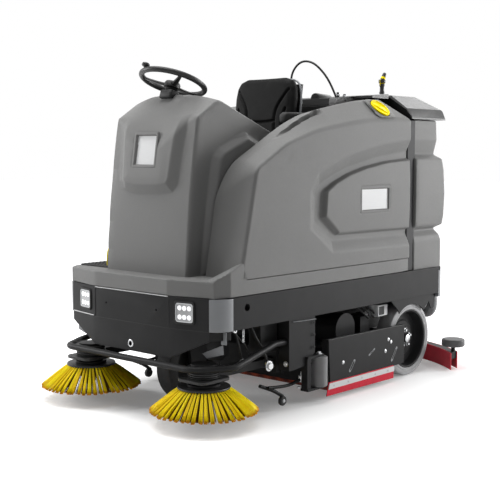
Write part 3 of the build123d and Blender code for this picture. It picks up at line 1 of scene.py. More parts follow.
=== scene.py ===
"""Ride-on floor scrubber: the looks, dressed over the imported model.

Lengths are metres.  +Z is up, the machine's front faces -Y and its left side faces +X.
"""
import json
from math import cos, pi, radians, sin

import bmesh
import bpy
import numpy as np
from mathutils import Matrix, Vector


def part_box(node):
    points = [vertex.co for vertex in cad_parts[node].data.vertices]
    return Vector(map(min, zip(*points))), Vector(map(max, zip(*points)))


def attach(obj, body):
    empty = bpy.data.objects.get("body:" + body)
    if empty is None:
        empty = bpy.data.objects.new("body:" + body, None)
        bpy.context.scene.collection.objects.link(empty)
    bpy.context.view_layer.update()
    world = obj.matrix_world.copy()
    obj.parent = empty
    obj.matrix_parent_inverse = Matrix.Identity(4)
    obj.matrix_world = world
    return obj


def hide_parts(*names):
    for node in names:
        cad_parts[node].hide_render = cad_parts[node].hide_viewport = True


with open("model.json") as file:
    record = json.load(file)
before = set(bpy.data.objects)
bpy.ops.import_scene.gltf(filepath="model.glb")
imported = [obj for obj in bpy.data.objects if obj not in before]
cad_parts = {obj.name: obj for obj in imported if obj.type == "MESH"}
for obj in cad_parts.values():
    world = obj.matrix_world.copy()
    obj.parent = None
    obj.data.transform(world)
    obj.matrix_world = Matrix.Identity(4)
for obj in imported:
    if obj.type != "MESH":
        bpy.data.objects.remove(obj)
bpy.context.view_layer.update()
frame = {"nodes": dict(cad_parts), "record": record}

# ------------------------------------------------------------------ places taken from the frame
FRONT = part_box("front_bumper")[0][1]
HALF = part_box("side_beams")[1][0]
DECK_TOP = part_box("step_mat")[0][2]

# axes, and lengths that several pieces share: half widths, heights over the floor, distances behind the front plate
X, Y, Z = (1, 0, 0), (0, 1, 0), (0, 0, 1)
TOWER_HALF = 0.295
DECK_LEVEL, UNDERSIDE = 0.7, 0.6205
CREASE_TOP, RIDGE_TOP, SHOULDER = 1.486, 1.597, 0.12
TANK_REAR = 1.627
CREST_Y, CREST_Z = 0.282, 1.598
BADGE_X, BADGE_Z, BADGE_LEAN = -0.0155, 1.3095, 0.155
ROLLER_Y, ROLLER_Z = 1.0725, 0.098


def aft(distance):
    """Y of a place this far behind the front plate."""
    return FRONT + distance


def behind(points):
    """Places whose middle number is a distance behind the front plate, with Y put in its stead."""
    return [(x, aft(y), z) for x, y, z in points]


# ------------------------------------------------------------------ camera, lights and floor
def look_at(location, target):
    """Rotation that points an object's -Z from location to target with +Z up."""
    return (Vector(target) - Vector(location)).to_track_quat("-Z", "Y").to_euler()


def make_camera():
    """Long lens off the machine's left front corner, at the height of its tanks and tipped a little down."""
    camera = bpy.data.cameras.new("camera")
    camera.lens = 72.8
    camera.sensor_width = 36.0
    azimuth, elevation = radians(41.946), radians(5.336)
    aim = Vector((-sin(azimuth) * cos(elevation), cos(azimuth) * cos(elevation), -sin(elevation)))
    item = bpy.data.objects.new("camera", camera)
    item.location = (3.738, -4.316, 1.282)
    item.rotation_euler = aim.to_track_quat("-Z", "Y").to_euler()
    bpy.context.collection.objects.link(item)
    bpy.context.scene.camera = item


def softbox(name, location, target, size, power):
    """A square area lamp that faces its target."""
    lamp = bpy.data.lights.new(name, "AREA")
    lamp.shape = "RECTANGLE"
    lamp.size, lamp.size_y = size
    lamp.energy = power
    item = bpy.data.objects.new(name, lamp)
    item.location = location
    item.rotation_euler = look_at(location, target)
    bpy.context.collection.objects.link(item)


class Socket:
    """A node's output with Python's arithmetic, which adds Math nodes."""

    def __init__(self, tree, link):
        self.tree, self.link = tree, link

    def maths(self, operation, *values):
        return self.tree.node("ShaderNodeMath", {"operation": operation}, *values)

    def __add__(self, other):
        return self.maths("ADD", self, other)

    def __radd__(self, other):
        return self.maths("ADD", other, self)

    def __sub__(self, other):
        return self.maths("SUBTRACT", self, other)

    def __rsub__(self, other):
        return self.maths("SUBTRACT", other, self)

    def __mul__(self, other):
        return self.maths("MULTIPLY", self, other)

    def __rmul__(self, other):
        return self.maths("MULTIPLY", other, self)

    def __truediv__(self, other):
        return self.maths("DIVIDE", self, other)

    def clamp(self, low=0.0, high=1.0):
        return self.maths("MINIMUM", self.maths("MAXIMUM", self, low), high)


class Finish:
    """A material's node tree: node() adds any node, shade() feeds the surface."""

    def __init__(self, name, **surface):
        self.material = bpy.data.materials.new(name)
        self.material.use_nodes = True
        self.tree = self.material.node_tree
        self.surface = self.tree.nodes["Principled BSDF"]
        self.shade(**surface)

    def put(self, target, value):
        if isinstance(value, Socket):
            self.tree.links.new(value.link, target)
        elif hasattr(target, "default_value") and hasattr(value, "__len__"):
            target.default_value = tuple(value) + (1.0,) * (len(target.default_value) - len(value))
        else:
            target.default_value = value

    def node(self, kind, settings=None, *values, output=0, **named):
        node = self.tree.nodes.new(kind)
        for key, value in (settings or {}).items():
            if key == "stops":
                ramp = node.color_ramp
                for index, (place, tone) in enumerate(value):
                    stop = ramp.elements[index] if index < 2 else ramp.elements.new(place)
                    stop.position = place
                    stop.color = (*tone, 1.0) if hasattr(tone, "__len__") else (tone, tone, tone, 1.0)
            else:
                setattr(node, key, value)
        for target, value in zip(node.inputs, values):
            self.put(target, value)
        for key, value in named.items():
            self.put(node.inputs[key.replace("_", " ")], value)
        return Socket(self, node.outputs[output])

    def shade(self, **surface):
        for key, value in surface.items():
            self.put(self.surface.inputs[key.replace("_", " ")], value)

    def place(self, output="Object"):
        """Object coordinates, or another output of the Texture Coordinate node."""
        return self.node("ShaderNodeTexCoord", output=output)

    def noise(self, scale, detail=2.0, roughness=0.5, vector=None):
        where = vector or self.place()
        return self.node("ShaderNodeTexNoise", Vector=where, Scale=scale, Detail=detail, Roughness=roughness)

    def mix(self, factor, first, second):
        """Colour mix."""
        mixed = self.tree.nodes.new("ShaderNodeMix")
        mixed.data_type = "RGBA"
        self.put(mixed.inputs[0], factor)
        self.put(mixed.inputs[6], first)
        self.put(mixed.inputs[7], second)
        return Socket(self, mixed.outputs[2])

    def ramp(self, factor, *stops):
        return self.node("ShaderNodeValToRGB", {"stops": stops}, factor)

    def parts(self, vector):
        """The three numbers of a vector."""
        node = self.tree.nodes.new("ShaderNodeSeparateXYZ")
        self.put(node.inputs[0], vector)
        return [Socket(self, output) for output in node.outputs]

    def maths(self, operation, *values):
        return self.node("ShaderNodeMath", {"operation": operation}, *values)

    def bump(self, height, strength, distance):
        bumped = self.node("ShaderNodeBump", None, Strength=strength, Distance=distance, Height=height)
        self.shade(Normal=bumped)


def seen_or_mirrored(tree):
    """1 for rays from the camera, from mirrors and through glass, 0 for light that falls on things."""
    path = tree.nodes.new("ShaderNodeLightPath")
    total = path.outputs["Is Camera Ray"]
    for name in ("Is Glossy Ray", "Is Transmission Ray"):
        either = tree.nodes.new("ShaderNodeMath")
        either.operation = "MAXIMUM"
        tree.links.new(total, either.inputs[0])
        tree.links.new(path.outputs[name], either.inputs[1])
        total = either.outputs[0]
    return total


WHITE = (1.0, 1.0, 1.0, 1.0)
SOFTBOXES = (  # name, place, target, width and height, power
    ("key", (-5.4, -3.3, 2.7), (0.0, -0.4, 0.9), (2.6, 2.4), 262.0),
    ("side", (4.4, 6.1, 2.1), (0.5, 0.2, 0.9), (3.2, 2.2), 440.0),
    ("top", (-0.3, -0.8, 4.8), (0.0, 0.0, 0.8), (3.0, 3.4), 215.0),
    ("rim", (-0.6, 5.4, 4.2), (0.0, 0.4, 1.4), (4.0, 1.6), 110.0),
)
SKY = 0.13
FLOOR_REACH = 40.0
FOOTPRINT = (0.45, 0.9)
# the floor's own white is least over the footprint: painted shade round and under the machine, on top of its real
# shadow
GLOW_LEAST, GLOW_FADE = 0.17, 1.3


def make_surroundings():
    """White to look at, but only a faint even light on the machine."""
    world = bpy.data.worlds.new("studio")
    bpy.context.scene.world = world
    world.use_nodes = True
    tree = world.node_tree
    back = tree.nodes["Background"]
    seen = tree.nodes.new("ShaderNodeBackground")
    for node, strength in ((back, SKY), (seen, 1.0)):
        node.inputs["Color"].default_value = WHITE
        node.inputs["Strength"].default_value = strength
    mix = tree.nodes.new("ShaderNodeMixShader")
    tree.links.new(seen_or_mirrored(tree), mix.inputs[0])
    tree.links.new(back.outputs[0], mix.inputs[1])
    tree.links.new(seen.outputs[0], mix.inputs[2])
    tree.links.new(mix.outputs[0], tree.nodes["World Output"].inputs["Surface"])


def floor_finish():
    """Pale floor whose own white grows with the distance from the machine's footprint and runs into the background;
    least at the footprint, so the floor round and under the machine is painted darker, painted shade added to its real
    shadow.
    """
    finish = Finish("floor_white", Base_Color=(0.86, 0.86, 0.86), Roughness=0.8, Specular_IOR_Level=0.1)
    tree = finish.tree
    x, y, _ = finish.parts(finish.place())
    beside = finish.maths("MAXIMUM", finish.maths("ABSOLUTE", x) - FOOTPRINT[0], 0.0)
    beyond = finish.maths("MAXIMUM", finish.maths("ABSOLUTE", y) - FOOTPRINT[1], 0.0)
    distance = finish.maths("SQRT", beside * beside + beyond * beyond)
    strength = (GLOW_LEAST + (1.0 - GLOW_LEAST) * distance / GLOW_FADE).clamp()
    glow = tree.nodes.new("ShaderNodeEmission")
    glow.inputs["Color"].default_value = WHITE
    tree.links.new((strength * Socket(finish, seen_or_mirrored(tree))).link, glow.inputs["Strength"])
    both = tree.nodes.new("ShaderNodeAddShader")
    tree.links.new(finish.surface.outputs[0], both.inputs[0])
    tree.links.new(glow.outputs[0], both.inputs[1])
    tree.links.new(both.outputs[0], tree.nodes["Material Output"].inputs["Surface"])
    return finish.material


def make_studio():
    """White surroundings, a pale floor and soft lamps: front right, rear left, overhead and a rim light behind."""
    bpy.context.scene.view_settings.view_transform = "Standard"
    make_surroundings()
    for name, place, target, size, power in SOFTBOXES:
        softbox(name, place, target, size, power)
    floor = bpy.data.meshes.new("floor")
    corners = [(x * FLOOR_REACH, y * FLOOR_REACH, 0) for x, y in ((-1, -1), (1, -1), (1, 1), (-1, 1))]
    floor.from_pydata(corners, [], [(0, 1, 2, 3)])
    floor.materials.append(floor_finish())
    item = bpy.data.objects.new("floor", floor)
    bpy.context.collection.objects.link(item)


make_camera()
make_studio()


# ------------------------------------------------------------------ finishes
def grey_moulding():
    """Fine-grained grey rotary moulding: a leathery grain and faint clouding."""
    finish = Finish("grey_moulding", Specular_IOR_Level=0.32)
    cloud = finish.noise(3.0, 3.0)
    finish.shade(Base_Color=finish.mix(cloud, (0.136, 0.136, 0.134), (0.163, 0.163, 0.16)))
    finish.bump(finish.noise(430.0, 2.0), 0.5, 0.0009)
    finish.shade(Roughness=0.5 + 0.22 * finish.noise(90.0, 1.0))
    return finish.material


def black_paint():
    """Satin black powder coat: faint orange peel, a little dust on it and rubbed spots."""
    finish = Finish("black_paint", Specular_IOR_Level=0.1)
    dust = finish.noise(5.0, 4.0, 0.6)
    finish.shade(Base_Color=finish.mix(dust, (0.01, 0.01, 0.0105), (0.02, 0.02, 0.0205)))
    finish.shade(Roughness=0.34 + 0.2 * finish.noise(14.0, 3.0))
    finish.bump(finish.noise(260.0, 1.0), 0.22, 0.0006)
    return finish.material


def black_moulding(name="black_moulding", tone=0.011, gloss=0.33):
    """Black plastic with a fine spark-eroded grain."""
    finish = Finish(name, Specular_IOR_Level=0.24)
    finish.shade(Base_Color=finish.mix(finish.noise(7.0, 3.0), (tone,) * 3, (tone * 1.9,) * 3))
    finish.shade(Roughness=gloss + 0.16 * finish.noise(60.0, 2.0))
    finish.bump(finish.noise(620.0, 2.0), 0.4, 0.0006)
    return finish.material


def rubber(name, tone, rough=0.72):
    """Rubber: matt, a little cloudy, with a soft bloom on it."""
    finish = Finish(name, Specular_IOR_Level=0.25)
    light = tuple(min(1.0, value * 1.28 + 0.008) for value in tone)
    finish.shade(Base_Color=finish.mix(finish.noise(22.0, 4.0), tone, light))
    finish.shade(Roughness=rough - 0.12 * finish.noise(40.0, 2.0))
    finish.bump(finish.noise(340.0, 2.0), 0.3, 0.0005)
    return finish.material


def bright_metal(name="zinc", tone=(0.62, 0.63, 0.64), rough=0.26):
    """Zinc-plated or brushed steel with fine directional scratches."""
    finish = Finish(name, Metallic=1.0)
    x, y, z = finish.parts(finish.place())
    drawn = finish.node("ShaderNodeCombineXYZ", None, x * 40.0, y * 40.0, z * 900.0)
    scratch = finish.noise(1.0, 2.0, 0.6, drawn)
    dark = tuple(value * 0.72 for value in tone)
    finish.shade(Base_Color=finish.mix(finish.noise(12.0, 3.0), dark, tone))
    finish.shade(Roughness=rough + 0.22 * scratch)
    return finish.material


def guard_plastic():
    """Blue-grey bumper plastic, satin and faintly clouded."""
    finish = Finish("guard_plastic", Specular_IOR_Level=0.5)
    finish.shade(Base_Color=finish.mix(finish.noise(6.0, 3.0), (0.165, 0.172, 0.182), (0.205, 0.212, 0.222)))
    finish.shade(Roughness=0.34 + 0.12 * finish.noise(50.0, 2.0))
    finish.bump(finish.noise(500.0, 1.0), 0.2, 0.0004)
    return finish.material


def yellow_plastic():
    """Yellow plastic, a little mottled and rubbed in places."""
    finish = Finish("yellow_plastic", Specular_IOR_Level=0.06)
    finish.shade(Base_Color=finish.mix(finish.noise(30.0, 3.0), (0.88, 0.68, 0.002), (0.94, 0.76, 0.004)))
    finish.shade(Roughness=0.42 + 0.14 * finish.noise(80.0, 2.0))
    return finish.material


def seat_vinyl():
    """Sewn black vinyl: pebbled grain, and a sheen where it is rubbed."""
    finish = Finish("seat_vinyl", Specular_IOR_Level=0.05)
    finish.shade(Base_Color=finish.mix(finish.noise(9.0, 3.0), (0.006, 0.006, 0.006), (0.011, 0.011, 0.011)))
    pebble = finish.node("ShaderNodeTexVoronoi", None, output=0, Vector=finish.place(), Scale=420.0)
    finish.bump(pebble + 0.6 * finish.noise(60.0, 3.0), 0.3, 0.0006)
    finish.shade(Roughness=0.46 + 0.16 * finish.noise(35.0, 2.0))
    return finish.material


def bristle():
    """Crimped nylon strands: yellow in tones that differ at random, nearly black in the inner row as painted shade,
    lighter at a tuft's top as painted light, and browner towards their tips.
    """
    finish = Finish("bristle", Roughness=0.5, Specular_IOR_Level=0.15)
    strand = finish.node("ShaderNodeAttribute", {"attribute_name": "strand"}, output=0)
    tone, reach, _ = finish.parts(strand)
    # tones below 0.22 belong to the inner row: painted shade between the tufts
    body = finish.ramp(tone, (0.0, (0.03, 0.013, 0.001)), (0.22, (0.38, 0.18, 0.002)), (0.36, (0.8, 0.36, 0.002)),
                       (0.6, (0.92, 0.64, 0.002)), (1.0, (1.0, 0.84, 0.005)))
    tip = finish.ramp(tone, (0.0, (0.14, 0.05, 0.003)), (1.0, (0.85, 0.36, 0.008)))
    finish.shade(Base_Color=finish.mix(((reach - 0.91) / 0.08).clamp(), body, tip))
    return finish.material


def painted_silver():
    """Silver-painted sheet, brushed along its length."""
    finish = Finish("plate_silver", Specular_IOR_Level=0.3)
    x, y, z = finish.parts(finish.place())
    brushed = finish.noise(1.0, 2.0, 0.6, finish.node("ShaderNodeCombineXYZ", None, x * 30.0, y * 30.0, z * 1400.0))
    finish.shade(Base_Color=finish.mix(brushed, (0.56, 0.565, 0.57), (0.68, 0.685, 0.69)))
    finish.shade(Roughness=0.36 + 0.1 * finish.noise(20.0, 2.0))
    finish.bump(brushed, 0.12, 0.0003)
    return finish.material


def lamp_glass():
    """Pale lens over the lit lamps."""
    finish = Finish("lamp_glass", Base_Color=(0.46, 0.465, 0.475), Roughness=0.2, Specular_IOR_Level=0.3)
    facet = finish.node("ShaderNodeTexVoronoi", None, output=0, Vector=finish.place(), Scale=160.0)
    finish.bump(facet, 0.35, 0.001)
    return finish.material


def lit_lamp():
    """Lamp dome that shines on its own, bluish in places."""
    finish = Finish("lit_lamp", Base_Color=(0.95, 0.95, 0.95), Roughness=0.1, Emission_Strength=0.6)
    finish.shade(Emission_Color=finish.mix(finish.noise(300.0, 1.0), (0.9, 0.93, 1.0), (1.0, 1.0, 1.0)))
    return finish.material


def red_rubber():
    """Red squeegee rubber: clouded, slightly shiny and softly pitted."""
    finish = Finish("red_rubber", Specular_IOR_Level=0.2)
    finish.shade(Base_Color=finish.mix(finish.noise(18.0, 3.0), (0.5, 0.004, 0.022), (0.64, 0.008, 0.036)))
    finish.shade(Roughness=0.36 + 0.2 * finish.noise(40.0, 2.0))
    finish.bump(finish.noise(200.0, 2.0), 0.15, 0.0005)
    return finish.material


def roller_bristle():
    """Scrub roller: tufts in a spiral, seen as slanted bands round its shaft."""
    finish = Finish("roller_bristle", Roughness=0.8)
    x, y, z = finish.parts(finish.place())
    angle = finish.maths("ARCTAN2", z - ROLLER_Z, y - aft(ROLLER_Y))
    band = finish.maths("SINE", 6.0 * angle + 70.0 * x)
    finish.shade(Base_Color=finish.mix((0.5 + 0.5 * band).clamp(), (0.16, 0.02, 0.01), (0.55, 0.09, 0.03)))
    finish.bump(band + finish.noise(300.0, 1.0), 0.6, 0.003)
    return finish.material


GREY = grey_moulding()
BLACK = black_paint()
PLASTIC = black_moulding()
MATT = black_moulding("black_box", 0.007, 0.5)
ZINC = bright_metal("zinc", (0.55, 0.56, 0.57), 0.28)
PLATE = painted_silver()
GUARD = guard_plastic()
YELLOW = yellow_plastic()
VINYL = seat_vinyl()
BRISTLE = bristle()
LENS = lamp_glass()
LAMP = lit_lamp()
RED = red_rubber()
TYRE = rubber("tyre_grey", (0.34, 0.34, 0.345))
TYRE_DARK = rubber("tyre_dark", (0.022, 0.022, 0.023))
ROLLER = rubber("roller_grey", (0.17, 0.17, 0.173), 0.6)
ROLLER_DARK = rubber("roller_dark", (0.085, 0.085, 0.087), 0.5)
MAT = rubber("mat_black", (0.013, 0.013, 0.013), 0.7)
HOSE = rubber("hose_grey", (0.22, 0.225, 0.23), 0.45)
CABLE = rubber("hose_black", (0.01, 0.01, 0.01), 0.4)
SCRUB = roller_bristle()
BY_SLOT = {
    "black_steel": BLACK, "grey_moulding": GREY, "black_plastic": PLASTIC, "armrest_foam": MAT, "mat_rubber": MAT,
    "guard_plastic": GUARD, "lamp_lens": LENS, "badge_metal": PLATE, "battery_case": MATT, "yellow_plastic": YELLOW,
    "seat_fabric": VINYL, "grey_tyre": TYRE, "wheel_paint": BLACK, "yellow_bristle": BRISTLE, "roller_grey": ROLLER,
    "roller_dark": ROLLER_DARK, "red_rubber": RED, "scrub_bristle": SCRUB, "hose_grey": HOSE, "hose_black": CABLE,
}
SLOT_OF = {part["node"]: part["material_slot"] for part in frame["record"]["subparts"]}
BODY_OF = {node: body for body, nodes in frame["record"]["behaviour"]["bodies"].items() for node in nodes}


# ------------------------------------------------------------------ surfaces worked out as whole arrays
def link_mesh(name, points, faces, material, sharp=40.0):
    """A mesh object from points and faces, smooth but for edges sharper than an angle."""
    mesh = bpy.data.meshes.new(name)
    mesh.from_pydata(points if isinstance(points, list) else points.tolist(), [], faces)
    mesh.validate()
    mesh.shade_smooth()
    mesh.set_sharp_from_angle(angle=radians(sharp))
    mesh.materials.append(material)
    item = bpy.data.objects.new(name, mesh)
    bpy.context.collection.objects.link(item)
    return item


def rounded_max(a, b, radius):
    """Inside both fields, where their edge has this radius."""
    outside = np.hypot(np.maximum(a + radius, 0.0), np.maximum(b + radius, 0.0))
    return np.minimum(np.maximum(a, b), -radius) + outside


def rounded_min(a, b, radius):
    """Inside either field, where their corner is filled to this radius."""
    inside = np.hypot(np.maximum(radius - a, 0.0), np.maximum(radius - b, 0.0))
    return np.maximum(np.minimum(a, b), radius) - inside


def to_outline(outline, u, v):
    """Signed distance of (u, v) from a closed outline: least distance to its sides, negative inside."""
    corners = np.asarray(outline, float)
    nearest = np.full(np.shape(u), np.inf)
    inside = np.zeros(np.shape(u), bool)
    for (u0, v0), (u1, v1) in zip(corners, np.roll(corners, -1, 0)):
        du, dv = u1 - u0, v1 - v0
        share = np.clip(((u - u0) * du + (v - v0) * dv) / (du * du + dv * dv), 0.0, 1.0)
        nearest = np.minimum(nearest, np.hypot(u - u0 - share * du, v - v0 - share * dv))
        crosses = (v0 > v) != (v1 > v)
        inside ^= crosses & (u < u0 + (v - v0) * du / (dv if dv else 1e-9))
    return np.where(inside, -nearest, nearest)


def ramp_up(t, soft):
    """0 below 0, 1 above 1 and straight between, with both bends rounded over a width of soft."""
    def bend(s):
        return np.where(s < -soft, 0.0, np.where(s > soft, s, (s + soft) ** 2 / (4.0 * soft)))
    return bend(t) - bend(t - 1.0)


def broken_line(at, stations, width=0.0):
    """Height of a broken line, averaged over a width so that its corners are round."""
    along, height = np.asarray(stations, float).T
    if width == 0.0:
        return np.interp(at, along, height)
    shares = np.linspace(-0.5, 0.5, 5)
    return sum(np.interp(at + share * width, along, height) for share in shares) / len(shares)


def trilinear(corners, a, b, c):
    """Point of a six-sided block at shares a, b and c; corners[i][j][k] is its corner."""
    block = np.asarray(corners, float)
    low = block[0] * (1 - a)[:, None, None, None] + block[1] * a[:, None, None, None]
    mid = low[:, 0] * (1 - b)[:, None, None] + low[:, 1] * b[:, None, None]
    return mid[:, 0] * (1 - c)[:, None] + mid[:, 1] * c[:, None]


def block(low, high):
    """Corners of an upright box, for trilinear."""
    return [[[(x, y, z) for z in (low[2], high[2])] for y in (low[1], high[1])] for x in (low[0], high[0])]


def leaning_block(x_ends, front_line, rear_line):
    """Corners of a block, for trilinear: front and rear each run from a low to a high (distance behind, z)."""
    return [[[(x, aft(y), z) for y, z in line] for line in (front_line, rear_line)] for x in x_ends]


HALVINGS = 15


def moulded(name, hull, core, lines, field, material, flat=(), sharp=40.0):
    """Skin of a moulding, worked out on the six sides of a block.

    Each point (a, b, c) of the hull's sides slides straight towards the same point of the core
    until field(x, y, z) falls to zero, found by halving.  Hull and core are a block's corners, or
    functions of (a, b, c).  Sides named in flat, such as (2, 0) for the bottom, are one plane face.
    """
    lines = [np.asarray(line, float) for line in lines]
    counts = [len(line) for line in lines]
    loops, quads = [], []
    for axis in range(3):
        first, second = [k for k in range(3) if k != axis]
        for end in (0, 1):
            i, j = np.meshgrid(np.arange(counts[first]), np.arange(counts[second]), indexing="ij")
            index = [None, None, None]
            index[first], index[second] = i, j
            index[axis] = np.full_like(i, end * (counts[axis] - 1))
            code = (index[0] * counts[1] + index[1]) * counts[2] + index[2]
            forward = (end == 1) != (axis == 1)
            if (axis, end) in flat:
                ring = np.concatenate([code[:-1, 0], code[-1, :-1], code[:0:-1, -1], code[0, :0:-1]])
                loops.append(ring if forward else ring[::-1])
                continue
            quad = np.stack([code[:-1, :-1], code[1:, :-1], code[1:, 1:], code[:-1, 1:]], -1).reshape(-1, 4)
            quads.append(quad if forward else quad[:, ::-1])
    quads = np.concatenate(quads)
    used, where = np.unique(np.concatenate([quads.ravel(), *loops]), return_inverse=True)
    quad_faces = where[:quads.size].reshape(-1, 4).tolist()
    start = quads.size
    for ring in loops:
        quad_faces.append(where[start:start + len(ring)].tolist())
        start += len(ring)
    a = lines[0][used // (counts[1] * counts[2])]
    b = lines[1][used // counts[2] % counts[1]]
    c = lines[2][used % counts[2]]
    outer, inner = [shape(a, b, c) if callable(shape) else trilinear(shape, a, b, c) for shape in (hull, core)]
    near, far = np.zeros(len(used)), np.ones(len(used))
    for _ in range(HALVINGS):
        middle = (near + far) / 2
        point = outer + (inner - outer) * middle[:, None]
        outside = field(point[:, 0], point[:, 1], point[:, 2]) > 0
        near, far = np.where(outside, middle, near), np.where(outside, far, middle)
    points = outer + (inner - outer) * ((near + far) / 2)[:, None]
    return link_mesh(name, points, quad_faces, material, sharp)


def even(count):
    """Lines of a lattice in even steps from 0 to 1."""
    return np.linspace(0.0, 1.0, count)


def spaced(*stations):
    """Lines of a lattice: from each (place, lines to the next) station to the next one in even steps."""
    runs = [np.linspace(here, there, count + 1)[:-1] for (here, count), (there, _) in zip(stations, stations[1:])]
    return np.concatenate([*runs, [stations[-1][0]]])


def unit(vector):
    """Vectors divided by their own length."""
    vector = np.asarray(vector, float)
    return vector / np.linalg.norm(vector, axis=-1, keepdims=True)


def skin(rings, ends=True, joined=False):
    """Points and faces of a skin over closed rings, an array (ring, point, 3).

    A point joins the next one of its ring and the same one of the next ring.  The ends are closed
    with one flat face each, or the last ring joins the first.
    """
    rings = np.asarray(rings, float)
    count, across = rings.shape[:2]
    i = np.arange(count if joined else count - 1)[:, None]
    j = np.arange(across)[None, :]
    after, beside = (i + 1) % count, (j + 1) % across
    faces = np.stack([i * across + j, i * across + beside, after * across + beside, after * across + j], -1)
    faces = faces.reshape(-1, 4).tolist()
    if ends and not joined:
        faces.append(list(range(across))[::-1])
        faces.append([(count - 1) * across + k for k in range(across)])
    return rings.reshape(-1, 3), faces


def sides_of(axis, across=None):
    """Two unit vectors square to an axis, so that the three turn by the right-hand rule."""
    axis = unit(axis)
    if across is None:
        across = Z if abs(axis[2]) < 0.8 else X
    second = unit(np.cross(axis, across))
    return unit(np.cross(second, axis)), second, axis


def turned(profile, centre, axis, count=48, across=None, joined=False):
    """Profile of (radius, distance along the axis) turned once round an axis: centre + d axis + r (cos, sin)."""
    u, v, w = sides_of(axis, across)
    radius, along = np.asarray(profile, float).T
    angle = np.arange(count) * 2 * pi / count
    spoke = np.cos(angle)[:, None] * u + np.sin(angle)[:, None] * v
    rings = np.asarray(centre) + along[:, None, None] * w + radius[:, None, None] * spoke[None]
    return skin(rings, joined=joined)


def tube(path, radius, count=16, across=Z, joined=False, flat=1.0):
    """Circle carried along a path: each ring lies square to the path's slope, its sides from the across vector."""
    path = np.asarray(path, float)
    slope = np.roll(path, -1, 0) - np.roll(path, 1, 0) if joined else np.gradient(path, axis=0)
    slope = unit(slope)
    second = unit(np.cross(slope, np.broadcast_to(across, slope.shape)))
    first = np.cross(second, slope)
    angle = np.arange(count) * 2 * pi / count
    size = np.broadcast_to(np.asarray(radius, float), len(path))[:, None, None]
    spoke = np.cos(angle)[None, :, None] * first[:, None] * flat + np.sin(angle)[None, :, None] * second[:, None]
    return skin(path[:, None] + size * spoke, joined=joined)


def square_ring(inner, outer, half, place, axis, count):
    """Square-edged ring round an axis, from half before its place to half behind it."""
    profile = [(inner, -half), (outer, -half), (outer, half), (inner, half)]
    return turned(profile, place, axis, count, joined=True)


def smooth_path(points, count):
    """Quadratic B-spline through its first and last points.

    On each span a point is the sum of (1-t)^2 start, 2t(1-t) control point and t^2 end, where start
    and end are the middles between neighbouring control points.
    """
    points = np.asarray(points, float)
    spans = len(points) - 2
    at = np.linspace(0, spans, count)
    span = np.minimum(at.astype(int), spans - 1)
    t = (at - span)[:, None]
    start = np.where((span == 0)[:, None], points[span], (points[span] + points[span + 1]) / 2)
    end = np.where((span == spans - 1)[:, None], points[span + 2], (points[span + 1] + points[span + 2]) / 2)
    return (1 - t) ** 2 * start + 2 * t * (1 - t) * points[span + 1] + t ** 2 * end


def rod(route, radius, steps, sides=10):
    """Round bar or cable along a smooth route of (x, distance behind the front plate, z)."""
    return tube(smooth_path(behind(route), steps), radius, sides, X)


def inset(outline, amount):
    """Outline (counter-clockwise) with each side moved in: corner + amount times the sum of its sides' normals."""
    outline = np.asarray(outline, float)
    along = unit(np.roll(outline, -1, 0) - outline)
    normal = np.stack([-along[:, 1], along[:, 0]], 1)
    before = np.roll(normal, 1, 0)
    return outline + amount * (normal + before) / (1 + np.sum(normal * before, 1))[:, None]


def plate(outline, origin, u, v, low, high, edge=0.0015):
    """Flat plate: an outline in u and v, from low to high along u x v, with small bevels all round."""
    u, v = unit(u), unit(v)
    w = np.cross(u, v)
    inner = inset(outline, edge)
    outline = np.asarray(outline, float)
    rows = [(inner, low), (outline, low + edge), (outline, high - edge), (inner, high)]
    rings = [np.asarray(origin) + row[:, :1] * u + row[:, 1:] * v + height * w for row, height in rows]
    return skin(rings)


def side_plate(outline, x, low, high, edge=0.0015):
    """Plate seen from the side: an outline of (distance behind the front plate, z), from x + low to x + high."""
    return plate([(aft(y), z) for y, z in outline], (x, 0, 0), Y, Z, low, high, edge)


def rounded_rect(width, height, radius, steps=5):
    """Outline of a rectangle whose corners are quarter circles, counter-clockwise."""
    turn = np.linspace(0, pi / 2, steps)
    parts = []
    for k, (x, y) in enumerate([(1, 1), (-1, 1), (-1, -1), (1, -1)]):
        angle = turn + k * pi / 2
        centre = np.array([x * (width / 2 - radius), y * (height / 2 - radius)])
        parts.append(centre + radius * np.stack([np.cos(angle), np.sin(angle)], 1))
    return np.concatenate(parts)


def brick(low, high, edge=0.002):
    """Upright block between two corners, with bevelled top and bottom edges."""
    (x0, y0, z0), (x1, y1, z1) = low, high
    return plate([(x0, y0), (x1, y0), (x1, y1), (x0, y1)], (0, 0, 0), X, Y, z0, z1, edge)


def gather(*shapes):
    """Several shapes as one: points one after another, faces with their numbers moved on."""
    points, faces, start = [], [], 0
    for shape_points, shape_faces in shapes:
        points.append(shape_points)
        faces += [[index + start for index in face] for face in shape_faces]
        start += len(shape_points)
    return np.concatenate(points), faces


def spread(shape, places):
    """Copies of one shape, moved to each of several places."""
    points, faces = shape
    places = np.asarray(places, float)
    every = (places[:, None] + points[None]).reshape(-1, 3)
    return every, [[index + k * len(points) for index in face] for k in range(len(places)) for face in faces]


def flipped(shape):
    """The same shape on the machine's other side, its faces turned so that they still look out."""
    points, faces = shape
    return points * (-1, 1, 1), [face[::-1] for face in faces]


def both_sides(shapes):
    """Shapes of the left side, and after them the same ones on the right."""
    return [*shapes, *[flipped(shape) for shape in shapes]]


def hex_bolt(place, axis, size=0.008, height=0.006):
    """Bolt head on a washer, its domed top turned and its six flats cut by six corners."""
    washer = turned([(size * 1.35, 0), (size * 1.35, 0.0012), (size * 1.2, 0.0016)], place, axis, 20)
    head = turned([(size, 0.0012), (size, height * 0.85), (size * 0.84, height)], place, axis, 6)
    return gather(washer, head)


